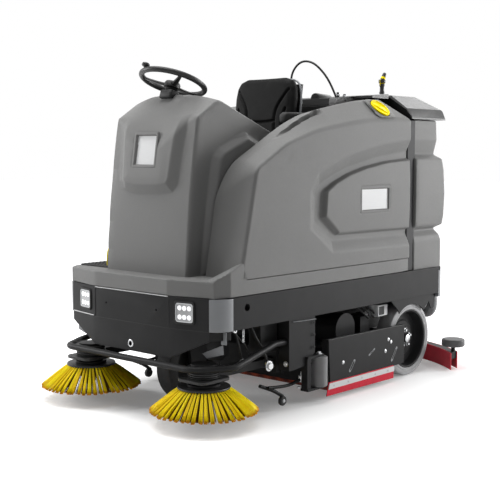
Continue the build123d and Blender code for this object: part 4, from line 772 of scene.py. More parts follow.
def settle(item, body, slot, *nodes):
    """Say which body a piece rides and which nodes it stands for, which are hidden; slot is not used."""
    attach(item, body)
    if nodes:
        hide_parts(*nodes)


def dress(name, shape, material, body="chassis", slot="black_plastic", replaces=(), sharp=35.0):
    """One finished piece from a shape: object, body and the nodes that it stands for; slot is passed on and not used.
    """
    points, faces = shape
    item = link_mesh(name, points, faces, material, sharp)
    settle(item, body, slot, *replaces)
    return item


def bevelled(node, width, segments=2):
    """A CAD node's own shape with its doubles merged, its flat faces joined and its edges rounded."""
    same_place, same_plane, sharp = 2e-5, radians(0.6), 32.0
    source = frame["nodes"][node]
    work = bmesh.new()
    work.from_mesh(source.data)
    bmesh.ops.remove_doubles(work, verts=work.verts, dist=same_place)
    bmesh.ops.dissolve_limit(work, angle_limit=same_plane, verts=work.verts, edges=work.edges)
    points = np.array([vertex.co[:] for vertex in work.verts])
    faces = [[vertex.index for vertex in face.verts] for face in work.faces]
    work.free()
    points = points @ np.array(source.matrix_world.to_3x3()).T + np.array(source.matrix_world.translation)
    item = link_mesh(node + "_dressed", points, faces, BY_SLOT[SLOT_OF[node]], sharp)
    rounder = item.modifiers.new("edges", "BEVEL")
    rounder.width = width
    rounder.segments = segments
    rounder.limit_method = "ANGLE"
    rounder.angle_limit = radians(sharp)
    rounder.harden_normals = True
    rounder.use_clamp_overlap = True
    settle(item, BODY_OF[node], SLOT_OF[node], node)


# ------------------------------------------------------------------ steering tower
def front_face(x, t):
    """How far behind the front plate the tower's front lies.

    t is the height above the deck: a parabola in t that leans back, less a bulge that is a parabola across x.
    """
    bulge = 0.007 * (1.0 - (x / TOWER_HALF) ** 2)
    return 0.099 + 0.045 * t + 0.082 * t ** 2 - bulge


# BOSS, GROUND and TOWER_BADGE lie on the front, as (x, z); FLARE and WING on the flank, as (distance behind, z)
BOSS = [(-0.25, 1.6), (-0.233, 1.48), (-0.205, 1.15), (-0.172, 1.105), (-0.09, 1.092), (0.09, 1.092),
        (0.172, 1.105), (0.205, 1.15), (0.233, 1.48), (0.25, 1.6)]
FLARE = [(0.189, 0.69), (0.191, 0.705), (0.235, 1.057), (0.258, 1.2), (0.276, 1.282), (0.317, 1.322), (0.507, 1.403),
         (0.64, 1.346), (0.64, 0.69)]
GROUND = [(-0.125, 1.19), (0.094, 1.19), (0.094, 1.43), (-0.125, 1.43)]
TOWER_BADGE = [(-0.101, 1.221), (0.07, 1.221), (0.07, 1.398), (-0.101, 1.398)]
WING = [(0.29, 0.6), (0.29, 1.7), (0.751, 1.7), (0.751, 1.388), (0.685, 1.18), (0.59, 0.6)]


def tower_field(x, y, z):
    """Front with its raised boss, sloped cap, falling top, footwell behind and the left wing.

    Each side is a plane or a bent sheet, negative inside.  rounded_max cuts one with another and
    rounded_min joins two; the boss, the badge's level ground and recess, and the flare move a sheet.
    """
    y = y - FRONT
    boss = ramp_up(-to_outline(BOSS, x, z) / 0.046, 0.05)
    sunk = 0.014 * ramp_up(-to_outline(TOWER_BADGE, x, z) / 0.012, 0.0001)
    face = front_face(x, z - DECK_TOP)
    level = front_face(BADGE_X, BADGE_Z - DECK_TOP) + BADGE_LEAN * (z - BADGE_Z)
    face = face + (level - face) * ramp_up(1.3 - to_outline(GROUND, x, z) / 0.04, 0.3)
    front = (face - 0.03 * boss + sunk - y) * 0.98
    arch = 0.042 * (x / TOWER_HALF) ** 2
    slope = (0.129 - arch) / (0.1 + 1.1 * arch)
    above, past = z - CREST_Z + arch, y - CREST_Y - 1.1 * arch
    cap = (above - slope * past) / np.sqrt(1.0 + slope ** 2)
    top = (above + 0.393 * past) / 1.074
    crown = rounded_max(cap, top, 0.022)
    lower = (y - 0.33 - 0.132 * (z - DECK_TOP)) * 0.99
    upper = (y - 0.4 - 0.62 * (z - 1.23)) * 0.85
    body = rounded_max(rounded_min(lower, upper, 0.06), -x - TOWER_HALF, 0.03)
    flare = 0.031 * ramp_up(-to_outline(FLARE, y, z) / 0.034, 0.2)
    wing = rounded_max(0.247 - x, to_outline(WING, y, z), 0.012)
    left = x - TOWER_HALF - flare
    shell = rounded_min(body, wing, 0.03)
    shell = rounded_max(shell, left, 0.01)
    shell = rounded_max(shell, front, 0.012)
    return rounded_max(shell, crown, 0.01 + 0.05 * np.clip(1.0 - (x / 0.27) ** 2, 0, 1) * (y < 0.26))


def make_tower():
    """The tower's skin, on a lattice that leans with the front and shrinks towards the body's corner with the wing."""
    hull = leaning_block((-0.315, 0.34), ((0.015, DECK_TOP), (0.15, 1.63)), ((0.62, DECK_TOP), (0.77, 1.42)))
    core = leaning_block((0.255, 0.285), ((0.17, DECK_TOP), (0.27, 1.4)), ((0.31, DECK_TOP), (0.36, 1.36)))
    lines = [even(118), even(54), even(172)]
    piece = moulded("tower_skin", hull, core, lines, tower_field, GREY, flat=[(2, 0)])
    settle(piece, "chassis", "grey_moulding", "steering_tower")


# ------------------------------------------------------------------ water tanks
# all in the flank's own plane: (distance behind the front plate, z)
CREASE = [(0.2, 1.175), (0.34, 1.238), (0.529, 1.345), (0.78, 1.412), (1.193, 1.47), (1.5, 1.486), (1.7, 1.486)]
RIDGE = [(0.25, 1.178), (0.367, 1.262), (0.45, 1.306), (0.587, 1.378), (0.755, 1.465), (0.9, 1.52), (1.027, 1.544),
         (1.159, 1.567), (1.296, 1.586), (1.488, 1.597), (1.7, 1.597)]
POCKET = [(0.782, 1.19), (0.9, 1.238), (1.053, 1.286), (1.3, 1.335), (1.64, 1.375), (2.2, 1.4), (2.2, 0.772),
          (1.64, 0.772), (0.907, 0.778), (0.719, 0.909), (0.718, 1.102)]
PANEL = [(0.85, 1.105), (0.93, 1.146), (1.05, 1.188), (1.198, 1.222), (1.4, 1.252), (1.64, 1.268), (2.2, 1.29),
         (2.2, 0.862), (1.64, 0.862), (0.961, 0.866), (0.837, 0.962)]
GROOVE = [(0.572, 1.368), (0.612, 1.378), (0.88, 1.463), (0.915, 1.482), (0.932, 1.502), (0.928, 1.54), (0.7, 1.5),
          (0.56, 1.43)]
FLANK_BADGE = [(1.147, 0.974), (1.425, 0.974), (1.425, 1.116), (1.147, 1.116)]


def flank_depth(y, z, badge):
    """How far the flank is sunk: a sloped pocket, the raised panel inside it, and the badge's recess on one side."""
    slope = 0.028 * ramp_up(-to_outline(POCKET, y, z) / 0.062, 0.12)
    raised = ramp_up(-to_outline(PANEL, y, z) / 0.012, 0.25)
    barrel = 0.006 * np.clip(1.0 - ((z - 1.06) / 0.22) ** 2, 0.0, 1.0)
    sunk = 0.014 * badge * ramp_up(-to_outline(FLANK_BADGE, y, z) / 0.014, 0.0001)
    return slope + raised * (0.006 - barrel - slope) + sunk


def tank_field(start, x, y, z):
    """Flank, shoulder between crease and ridge, front, rear face, the tail and a grab groove.

    start is where the right tank's front stands; with None it is the left tank, which has the leaning
    nose, the groove and the badge's recess.  Each side is a plane or a bent sheet, negative inside.
    """
    y = y - FRONT
    low, high = broken_line(y, CREASE, 0.1), broken_line(y, RIDGE, 0.06)
    share = (HALF - x) / SHOULDER
    roof = np.where(share < 1.0, low + (high - low) * share, high - 0.2 * (HALF - SHOULDER - x))
    top = (z - roof) / np.hypot(1.0, (high - low) / SHOULDER)
    tail = (z - RIDGE_TOP + 0.769 * (y - 1.48)) * 0.79
    top = rounded_max(top, tail, 0.01)
    flank = (x - HALF + flank_depth(y, z, start is None)) * 0.97
    if start is None:
        nose = (0.19 + 0.19 * (z - 0.703) + 0.08 * (x - 0.33) * (z - 0.6) / 0.6 - y) * 0.98
        shell = rounded_max(top, nose, 0.028 + 0.09 * np.clip((HALF - 0.03 - x) / 0.2, 0, 1))
    else:
        shell = rounded_max(top, start - y, 0.05)
    shell = rounded_max(shell, flank, 0.016)
    if start is None:
        cut = rounded_max(to_outline(GROOVE, y, z), np.abs(x - 0.446) - 0.017, 0.006)
        shell = rounded_max(shell, -cut, 0.005)
    return rounded_max(shell, y - TANK_REAR, 0.006)


POCKET_TOP, PANEL_TOP = [(0.6, 1.06)] + POCKET[:6], [(0.8, 1.06)] + PANEL[:7]
ROWS = [(0.0, 12), (0.08, 16), (0.2, 6), (0.23, 34), (0.56, 6), (0.59, 26), (0.74, 20), (0.84, 44), (1.0, 0)]


def tank_rows(y, share):
    """Height of a lattice row: rows run along the edges of the pocket, the panel and the shoulder."""
    crease = broken_line(y, CREASE, 0.1)
    pocket = np.minimum(broken_line(y, POCKET_TOP), crease - 0.045)
    panel = np.minimum(broken_line(y, PANEL_TOP), pocket - 0.055)
    bottom = np.full_like(y, 0.862)
    lid = bottom * 0 + 1.62
    marks = [bottom - 0.162, bottom - 0.09, bottom, bottom + 0.016, panel - 0.016, panel, pocket, crease, lid]
    at = [place for place, _ in ROWS]
    height = np.zeros_like(y)
    for k in range(len(at) - 1):
        inside = (share >= at[k]) & (share <= at[k + 1])
        part = (share - at[k]) / (at[k + 1] - at[k])
        height = np.where(inside, marks[k] + (marks[k + 1] - marks[k]) * part, height)
    return height


def make_tank(side, name, node, start, columns):
    """The tank on one side; the right one is the left one's mirror and starts behind the step.

    On the hull x and y run evenly with a and b, the left tank's y also leans back with the height,
    and z follows tank_rows.  The core is the hull drawn in from the flank, both ends and the crease.
    """
    inner, rear = 0.332, 1.66
    begin = 0.15 if start is None else start - 0.02
    shift = 0.18 if start is None else 0.0

    def hull(a, b, c):
        y = begin + (rear - begin) * b
        for _ in range(4):
            z = tank_rows(y, c)
            y = begin + (rear - begin) * b + shift * (z - DECK_LEVEL) / 0.92 * (1.0 - b)
        return np.stack([inner + (HALF + 0.02 - inner) * a, aft(y), z], 1)

    def core(a, b, c):
        outer = hull(a, b, c)
        y = np.clip(outer[:, 1], aft(begin + 0.28), aft(1.5))
        roof = broken_line(y - FRONT, CREASE, 0.1) - 0.1
        return np.stack([inner + (HALF - 0.1 - inner) * a, y, np.minimum(outer[:, 2], roof)], 1)

    def field(x, y, z):
        return tank_field(start, x, y, z)
    lines = [even(34), spaced(*columns), spaced(*ROWS)]
    piece = moulded(name, hull, core, lines, field, GREY, flat=[(2, 0), (0, 0)], sharp=55)
    if side < 0:
        mesh = piece.data
        mesh.transform(Matrix.Diagonal((-1, 1, 1, 1)))
        mesh.flip_normals()
    settle(piece, "chassis", "grey_moulding", node)


# ------------------------------------------------------------------ rear tank and lid
# insets of the flanks and of the rear face at heights: (z, inset)
SIDE_BANDS = [(0.6, 0.015), (0.782, 0.015), (0.812, 0.022), (0.845, 0.044), (0.853, 0.044), (0.873, 0.006),
              (0.93, 0.002), (1.06, 0.0), (1.2, 0.002), (1.262, 0.007), (1.287, 0.042), (1.297, 0.042), (1.373, 0.024),
              (1.5, 0.021)]
REAR_BANDS = [(0.6, 0.014), (0.782, 0.016), (0.812, 0.026), (0.845, 0.052), (0.853, 0.052), (0.873, 0.018),
              (0.93, 0.008), (1.06, 0.001), (1.2, 0.014), (1.262, 0.028), (1.287, 0.066), (1.297, 0.066),
              (1.373, 0.062), (1.5, 0.078)]


def rear_tank_field(x, y, z):
    """Both flanks and the rear face follow their bands of insets; upright corners are round."""
    y = y - FRONT
    side = (np.abs(x) - HALF + broken_line(z, SIDE_BANDS, 0.012)) * 0.85
    back = (y - 2.037 + broken_line(z, REAR_BANDS, 0.012)) * 0.85
    shell = rounded_max(side, back, 0.045)
    return rounded_max(rounded_max(shell, 1.6935 - y, 0.009), z - CREASE_TOP, 0.008)


def make_rear_tank():
    """The rear tank's skin, the spine between it and the side tanks coloured near-black as painted shade, and the lugs
    and pins of the lid.
    """
    hull = block((-HALF - 0.01, aft(1.685), UNDERSIDE), (HALF + 0.01, aft(2.05), 1.494))
    core = block((-0.42, aft(1.8), UNDERSIDE), (0.42, aft(1.88), 1.4))
    across, along = spaced((0.0, 18), (0.07, 16), (0.93, 18), (1.0, 0)), spaced((0.0, 14), (0.75, 26), (1.0, 0))
    lines = [across, along, even(216)]
    piece = moulded("rear_tank_skin", hull, core, lines, rear_tank_field, GREY, flat=[(2, 0)])
    settle(piece, "chassis", "grey_moulding", "rear_tank")
    # the spine is grey moulding, coloured near-black: painted shade in the gap between the tanks
    spine = brick((-HALF + 0.022, aft(1.6275), 0.621), (HALF - 0.022, aft(1.7), 1.482), 0.002)
    dress("rear_tank_spine_shade", spine, TYRE_DARK, slot="grey_moulding")
    hook = [(1.92, 1.47), (2.034, 1.47), (2.034, 1.501), (2.0195, 1.501), (2.0195, 1.4895), (1.92, 1.4895)]
    lugs = []
    for middle in (-0.34, 0.34):
        lugs.append(turned([(0.003, -0.037), (0.003, 0.037)], (middle, aft(2.022), 1.496), X, 12))
        lugs += [side_plate(hook, middle + end, 0, 0.006, 0.001) for end in (-0.037, 0.031)]
    dress("lid_lugs", gather(*lugs), MATT, slot="grey_moulding")


# ------------------------------------------------------------------ platform with the sill under the left tank
def platform_field(x, y, z):
    """Faceted front, and a top that rises in a fold towards the left tank's front corner.

    The wall is the distance to the outline seen from above.  The top is the deck's level, raised on
    the left where the sill climbs; it falls away again behind the tank's front.
    """
    y = y - FRONT
    half = [(0.265, -0.004), (0.52, 0.052), (0.56, 0.125), (0.56, TANK_REAR)]
    wall = to_outline([(-0.265, -0.004)] + half + [(-x, y) for x, y in half[:0:-1]], x, y)
    along = (x - 0.44) * 0.78 + (y - 0.12) * 0.63
    sill = DECK_LEVEL + (0.787 - DECK_LEVEL) * np.clip(along / 0.155, 0.0, 1.0)
    outer = DECK_LEVEL + np.interp(y, [0.052, 0.085, 0.207, 0.3], [0.0, 0.026, 0.079, 0.1])
    sill = np.minimum(sill, outer) - 3.0 * np.clip(y - 0.213, 0.0, 0.2)
    sill = np.where((x > 0.3) & (y > 0.04), np.maximum(sill, DECK_LEVEL), DECK_LEVEL)
    top = (z - sill) * 0.86
    edge = np.where(y > 0.235, 0.0012, 0.007)
    return rounded_max(rounded_max(wall, top, edge), UNDERSIDE - z, 0.004)


def make_platform():
    """The platform's skin: the hull is an upright box, and the core is the same box drawn in on every side."""
    def hull(a, b, c):
        return np.stack([-0.57 + 1.14 * a, aft(-0.012 + 1.652 * b), 0.616 + 0.184 * c], 1)

    def core(a, b, c):
        outer = hull(a, b, c)
        x, y = np.clip(outer[:, 0], -0.3, 0.36), np.clip(outer[:, 1], aft(0.1), aft(1.5))
        return np.stack([x, y, 0.65 + 0.03 * c], 1)
    across, along = spaced((0.0, 34), (0.7, 66), (1.0, 0)), spaced((0.0, 86), (0.2, 14), (1.0, 0))
    piece = moulded("platform_skin", hull, core, [across, along, even(26)], platform_field, GREY, sharp=28.0)
    settle(piece, "chassis", "grey_moulding", "platform")


# ------------------------------------------------------------------ filler cap
def make_filler_cap():
    """Round cap in the tilted plane of the left tank's shoulder: a rolled rim, a bowl, and a wedge to turn it by.

    The cap lies in a pad whose outline is a circle stretched towards a square, reach / max(|cos|, |sin|).
    """
    tilt = np.arctan2(RIDGE_TOP - CREASE_TOP, SHOULDER)
    normal = np.array([sin(tilt), 0.0, cos(tilt)])
    middle = np.array([0.5, aft(1.4), (CREASE_TOP + RIDGE_TOP) / 2])
    u, v = np.array([0.0, 1.0, 0.0]), np.cross(normal, (0.0, 1.0, 0.0))
    bowl = [(0.03, -0.006), (0.0612, -0.006), (0.0618, 0.0062), (0.06, 0.009), (0.0562, 0.009), (0.0535, 0.0066),
            (0.05, 0.003), (0.038, 0.0018), (0.004, 0.0016)]
    body = turned(bowl, middle, normal, 72, u)
    # grip: a ridge across the bowl that widens towards one side; (place along it, half its width, its height)
    grip = []
    for along, half, rise in ((-0.051, 0.003, 0.0022), (-0.042, 0.006, 0.0066), (0.0, 0.01, 0.0084),
                              (0.04, 0.0155, 0.0072), (0.0515, 0.011, 0.003)):
        section = [(-half - 0.006, 0.0008), (half + 0.006, 0.0008), (half, rise), (-half, rise)]
        start = middle + along * (0.8 * u - 0.6 * v)
        grip.append([start + p * (0.6 * u + 0.8 * v) + q * normal for p, q in section])
    points, faces = skin(np.array(grip))
    cap = gather(body, (points, [face[::-1] for face in faces]))
    dress("cap_body", cap, YELLOW, "filler_cap", "yellow_plastic", ("filler_cap",), 30)
    # faceted pad that the cap lies in, with a dark ring gap and a hinge slot at its front
    rings = []
    turn = np.arange(64) * 2 * pi / 64
    edge = 1.0 / np.maximum(np.abs(np.cos(turn)), np.abs(np.sin(turn)))
    for square, reach, level in ((1, 0.074, -0.004), (1, 0.074, 0.0002), (1, 0.071, 0.0016), (0, 0.069, 0.0016),
                                 (0, 0.068, -0.002), (0, 0.068, -0.004)):
        size = reach * (np.minimum(edge, 1.22) if square else 1.0)
        longer = 1.18 if square else 1.0
        spots = (size * np.cos(turn) * longer)[:, None] * u + (size * np.sin(turn))[:, None] * v
        rings.append(middle + spots + level * normal)
    dress("cap_pad", skin(rings, joined=True), GREY, slot="grey_moulding", sharp=30)
    gap = [(0.0615, -0.004), (0.0682, -0.004), (0.0682, 0.0008), (0.0615, 0.0008)]
    ring = turned(gap, middle, normal, 64, u, joined=True)
    outline = [(-0.09, -0.03), (-0.081, -0.036), (-0.075, 0.03), (-0.083, 0.034)]
    slot = plate(outline, middle, u, v, -0.002, 0.0024, 0.0008)
    dress("cap_seat", gather(ring, slot), MATT, slot="grey_moulding")


# ------------------------------------------------------------------ badge plates, blank
def bezel(width, height, flange, depth, origin, u, v):
    """Moulded edge of a recess: rings of a rounded rectangle, over the flange and down the sloped inner wall."""
    u, v = unit(u), unit(v)
    w = np.cross(u, v)
    rings = []
    for grow, level in ((flange, -0.003), (flange, -0.0006), (flange - 0.002, 0.0006), (0.0025, 0.001), (0.0, 0.0002),
                        (-0.006, -depth), (-0.008, -depth - 0.001)):
        outline = rounded_rect(width + 2 * grow, height + 2 * grow, 0.003 + max(grow, 0.0) * 0.5)
        rings.append(np.asarray(origin) + outline[:, :1] * u + outline[:, 1:] * v + level * w)
    return skin(rings, joined=True)


def make_plates():
    """Blank aluminium plates, each at the bottom of its recess on the tower and the flank."""
    up = unit([0, BADGE_LEAN, 1.0])
    where = np.array([BADGE_X, aft(front_face(BADGE_X, BADGE_Z - DECK_TOP)) - 0.0303, BADGE_Z])
    tower = bezel(0.147, 0.153, 0.013, 0.0105, where, X, up)
    dress("tower_badge_edge", tower, GREY, slot="badge_metal", sharp=30)
    face = plate(rounded_rect(0.138, 0.144, 0.002), where, X, up, -0.0125, -0.0095, 0.0005)
    dress("tower_badge", face, PLATE, slot="badge_metal")
    where = np.array([HALF - 0.0002, aft(1.286), 1.045])
    flank = bezel(0.256, 0.12, 0.013, 0.0085, where, Y, Z)
    dress("flank_badge_edge", flank, GREY, slot="badge_metal", sharp=30)
    face = plate(rounded_rect(0.247, 0.111, 0.002), where, Y, Z, -0.0105, -0.0075, 0.0005)
    dress("flank_badge", face, PLATE, slot="badge_metal", replaces=("badge_plates",))


# ------------------------------------------------------------------ steering wheel
def make_steering_wheel():
    """Wheel in a plane tilted 20 degrees: a tube on a circle, a hub, three spokes, a knob, and the boot under it."""
    tilt, grip_radius = radians(20.0), 0.163
    axis = np.array([0.0, sin(tilt), cos(tilt)])
    u = np.array([1.0, 0.0, 0.0])
    v = np.cross(axis, u)
    centre = np.array([0.0, aft(0.301), 1.651])
    angle = np.arange(180) * 2 * pi / 180
    circle = centre + grip_radius * (np.cos(angle)[:, None] * u + np.sin(angle)[:, None] * v)
    rim = tube(circle, 0.0142, 18, axis, joined=True)
    profile = [(0.03, -0.034), (0.041, -0.032), (0.0415, -0.012), (0.036, -0.003), (0.024, -0.0015), (0.004, -0.001)]
    hub = turned(profile, centre, axis, 40, u)
    cap = turned([(0.02, -0.002), (0.0195, 0.0015), (0.004, 0.0025)], centre, axis, 32, u)
    spokes = []
    for turn in (90, 210, 330):
        reach = cos(radians(turn)) * u + sin(radians(turn)) * v
        across = np.cross(axis, reach)
        rows = []
        for share in np.linspace(0.0, 1.0, 9):
            out, half = 0.026 + 0.128 * share, 0.0185 - 0.011 * share + 0.006 * max(0.0, share - 0.85) / 0.15
            drop = -0.019 + 0.0175 * share ** 1.6
            thick = 0.0062 - 0.001 * share
            section = [(-half, 0), (-half * 0.7, -thick), (half * 0.7, -thick), (half, 0), (half * 0.6, thick),
                       (-half * 0.6, thick)]
            rows.append([centre + reach * out + across * p + axis * (drop + q) for p, q in section])
        spokes.append(skin(np.array(rows)))
    turn = radians(250)
    at = centre + grip_radius * (cos(turn) * u + sin(turn) * v)
    profile = [(0.007, 0.005), (0.007, 0.018), (0.014, 0.021), (0.0195, 0.025), (0.0205, 0.031), (0.018, 0.038),
               (0.01, 0.0415), (0.002, 0.042)]
    knob = turned(profile, at, axis, 28, u)
    dress("steering_wheel_skin", gather(rim, hub, cap, knob, *spokes), PLASTIC, "steering_wheel",
          replaces=("steering_wheel",), sharp=50)
    # bellows over the column, and the cowl that it comes out of
    ribs = [(0.0295 + 0.0025 * (k % 2), -0.036 - 0.0026 * k) for k in range(12)]
    boot = turned(ribs, centre, axis, 40, u)
    cowl = plate(rounded_rect(0.086, 0.07, 0.012), centre, u, v, -0.0945, -0.0523, 0.004)
    dress("column_boot", gather(boot, cowl), MATT, replaces=("steering_column",), sharp=50)


# ------------------------------------------------------------------ lamps
def make_lamps():
    """Square work lamps on the slanted facets: a dark housing, a bright frame, a pale lens and six lit domes."""
    housings, frames, lenses, domes = [], [], [], []
    for side in (-1, 1):
        face = np.array([0.3645 * side, aft(0.016), 0.546])
        u, v = unit((0.223, 0.041 * side, 0.0)), np.array([0.0, 0.0, 1.0])
        out = np.cross(u, v)
        bodies = ((housings, 0.118, 0.11, 0.017, ((0.0, -0.012), (0.0, 0.0045), (-0.003, 0.007), (-0.017, 0.007),
                                                      (-0.019, 0.004), (-0.019, -0.012))),
                  (frames, 0.0985, 0.0905, 0.013, ((0.0, -0.002), (0.0, 0.005), (-0.001, 0.0058), (-0.006, 0.0058),
                                                    (-0.0072, 0.004), (-0.0072, -0.002))))
        for group, width, height, radius, rows in bodies:
            rings = []
            for grow, level in rows:
                outline = rounded_rect(width + grow, height + grow, radius + grow * 0.3)
                rings.append(face + outline[:, :1] * u + outline[:, 1:] * v + level * out)
            group.append(skin(rings, joined=True))
        lenses.append(plate(rounded_rect(0.0915, 0.0835, 0.01), face, u, v, -0.006, 0.003, 0.001))
        dome = [(0.0122, -0.001), (0.0116, 0.0012), (0.008, 0.0032), (0.0015, 0.004)]
        for column in (-0.0275, 0.0, 0.0275):
            for row in (-0.0215, 0.0215):
                domes.append(turned(dome, face + column * u + row * v + 0.0022 * out, out, 22))
    dress("lamp_housings", gather(*housings), MATT, slot="lamp_lens")
    dress("lamp_frames", gather(*frames), ZINC, slot="lamp_lens")
    dress("lamp_lenses", gather(*lenses), LENS, slot="lamp_lens", replaces=("work_lamps",))
    dress("lamp_domes", gather(*domes), LAMP, slot="lamp_lens")


# ------------------------------------------------------------------ black steel front
def front_edge(offset):
    """Outline of the faceted front seen from above, from the right side round to the left."""
    half = [(0.277 - offset * 0.1, offset), (0.5 - offset * 0.6, 0.041 + offset), (0.543 - offset * 0.9, 0.129)]
    right = [(-x, aft(y)) for x, y in half][::-1]
    return right + [(x, aft(y)) for x, y in half]


def front_strip(section):
    """Strip round the faceted front: each (offset, z) of its section is carried along the front's edge."""
    rows = []
    for offset, z in section:
        outer = np.array(front_edge(offset))
        rows.append(np.column_stack([outer, np.full(len(outer), z)]))
    return skin(np.stack(rows, 1)[::-1])


EDGE_WIDTHS = {
    "side_beams": 0.003, "wheel_gussets": 0.0015, "floor_frame": 0.002, "rear_bumper": 0.003, "rear_axle": 0.003,
    "tool_guides": 0.0015, "side_brackets": 0.002, "scrub_deck": 0.004, "squeegee_carrier": 0.003,
    "squeegee_bar": 0.002, "top_deck": 0.004, "seat_base": 0.008, "seat_pan": 0.003, "brush_arm_left": 0.003,
    "brush_arm_right": 0.003, "steer_fork": 0.002, "deck_lips": 0.0012, "tank_lid": 0.007, "squeegee_blades": 0.001,
}


def make_front():
    """Black steel and mouldings with their edges rounded, and strips on the band across the front: its lip, matt
    strips in its folds, silver strips as painted highlights along its edges, and the apron seam.
    """
    bevelled("front_bumper", 0.0022)
    bevelled("corner_protectors", 0.004, segments=3)
    for node, width in EDGE_WIDTHS.items():
        bevelled(node, width)
    lip = front_strip([(-0.0012, 0.6135), (-0.0016, 0.6185), (0.006, 0.6205), (0.006, 0.6135)])
    dress("band_lip", lip, BLACK, slot="black_steel", sharp=20)
    # matt near-black strips in the folds beside the middle panel; silver strips above it and below the left facet,
    # painted highlights along the edges
    uprights = [brick((side * 0.272 - 0.001, aft(-0.0018), 0.468), (side * 0.272 + 0.001, aft(0.002), 0.612), 0.0004)
                for side in (-1, 1)]
    dress("band_uprights", gather(*uprights), TYRE_DARK, slot="black_steel")
    upper = brick((-0.268, aft(-0.0028), 0.6145), (0.268, aft(0.002), 0.619), 0.0008)
    lower = tube([(-0.285, aft(0.0), 0.469), (-0.49, aft(0.0375), 0.469)], 0.0026, 10)
    dress("band_edge_highlights", gather(upper, lower), PLATE, slot="black_steel")
    seam = front_strip([(-0.001, 0.4625), (-0.001, 0.4655), (0.004, 0.4665), (0.004, 0.4615)])
    dress("apron_seam", seam, MATT, slot="black_steel", sharp=20)


# ------------------------------------------------------------------ spray hose, a free cord
def make_spray_hose():
    """Black hose that springs in an arch from the box behind the seat to a fitting on the deck."""
    route = behind([(0.02, 1.228, 1.6008), (0.014, 1.214, 1.68), (0.03, 1.204, 1.755), (0.092, 1.204, 1.812),
                    (0.165, 1.218, 1.806), (0.222, 1.24, 1.752), (0.262, 1.266, 1.68), (0.284, 1.284, 1.6076)])
    curve = bpy.data.curves.new("spray_hose_curve", "CURVE")
    curve.dimensions = "3D"
    spline = curve.splines.new("NURBS")
    spline.points.add(len(route) - 1)
    for point, place in zip(spline.points, route):
        point.co = (*place, 1.0)
    spline.order_u = 3
    spline.use_endpoint_u = True
    spline.resolution_u = 16
    curve.bevel_depth = 0.006
    curve.bevel_resolution = 5
    curve.use_fill_caps = True
    item = bpy.data.objects.new("spray_hose_line", curve)
    bpy.context.collection.objects.link(item)
    curve.materials.append(CABLE)
    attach(item, "chassis")
    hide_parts("spray_hose")
    aft(1.228)


# ------------------------------------------------------------------ seat
def moved_points(item):
    """A mesh's points as an array."""
    count = len(item.data.vertices)
    points = np.empty(count * 3)
    item.data.vertices.foreach_get("co", points)
    return points.reshape(-1, 3)


def place_points(item, points):
    """Put an array of points back into a mesh."""
    item.data.vertices.foreach_set("co", points.ravel())
    item.data.update()


PAD_CROWN = 0.006
PAD_SWELL = 0.006
PAD_VOXEL = 0.007
AIR_PRESSURE = 4.0
AIR_FRAMES = 20


def swell(item):
    """Blow the pad up as cloth for a few frames, and let no point move further than PAD_SWELL."""
    evener = item.modifiers.new("even_mesh", "REMESH")
    evener.mode = "VOXEL"
    evener.voxel_size = PAD_VOXEL
    bpy.context.view_layer.objects.active = item
    item.select_set(True)
    bpy.ops.object.modifier_apply(modifier=evener.name)
    start = moved_points(item)
    cloth = item.modifiers.new("air", "CLOTH")
    cloth.settings.use_pressure = True
    cloth.settings.uniform_pressure_force = AIR_PRESSURE
    cloth.settings.effector_weights.gravity = 0.0
    cloth.settings.quality = 5
    cloth.point_cache.frame_start = 1
    cloth.point_cache.frame_end = AIR_FRAMES
    scene = bpy.context.scene
    for step in range(1, AIR_FRAMES + 1):
        scene.frame_set(step)
    bpy.ops.object.modifier_apply(modifier=cloth.name)
    scene.frame_set(1)
    moved = moved_points(item) - start
    length = np.linalg.norm(moved, axis=1, keepdims=True)
    place_points(item, start + moved * np.minimum(1.0, PAD_SWELL / np.maximum(length, 1e-9)))
    item.select_set(False)


def sew(item, origin, across, up, seams, width, depth):
    """Press channels into a pad: each point sinks along the pad's normal by depth exp(-(distance/width)^2)."""
    across, up = unit(across), unit(up)
    normal = np.cross(across, up)
    points = moved_points(item)
    local = points - origin
    a, b, c = local @ across, local @ up, local @ normal
    nearest = np.full(len(points), np.inf)
    for seam in seams:
        line = smooth_path(seam, 24) if len(seam) > 2 else np.asarray(seam, float)
        for (a0, b0), (a1, b1) in zip(line, line[1:]):
            da, db = a1 - a0, b1 - b0
            share = np.clip(((a - a0) * da + (b - b0) * db) / (da * da + db * db), 0, 1)
            nearest = np.minimum(nearest, np.hypot(a - a0 - share * da, b - b0 - share * db))
    press = depth * np.exp(-(nearest / width) ** 2) * np.clip((c - 0.004) / 0.02, 0, 1)
    points -= press[:, None] * normal
    place_points(item, points)


def pad_field(outline, half, radius):
    """Field of a pad in its own frame: an outline, and a thickness that swells by PAD_CROWN at the middle."""
    corners = np.asarray(outline, float)
    middle, size = corners.mean(0), np.ptp(corners, axis=0) / 2

    def hump(at, axis):
        return np.clip(1 - ((at - middle[axis]) / size[axis]) ** 2, 0, 1)

    def field(a, b, c):
        inside = to_outline(outline, a, b)
        return rounded_max(inside, np.abs(c) - half - PAD_CROWN * hump(a, 0) * hump(b, 1), radius)
    return field


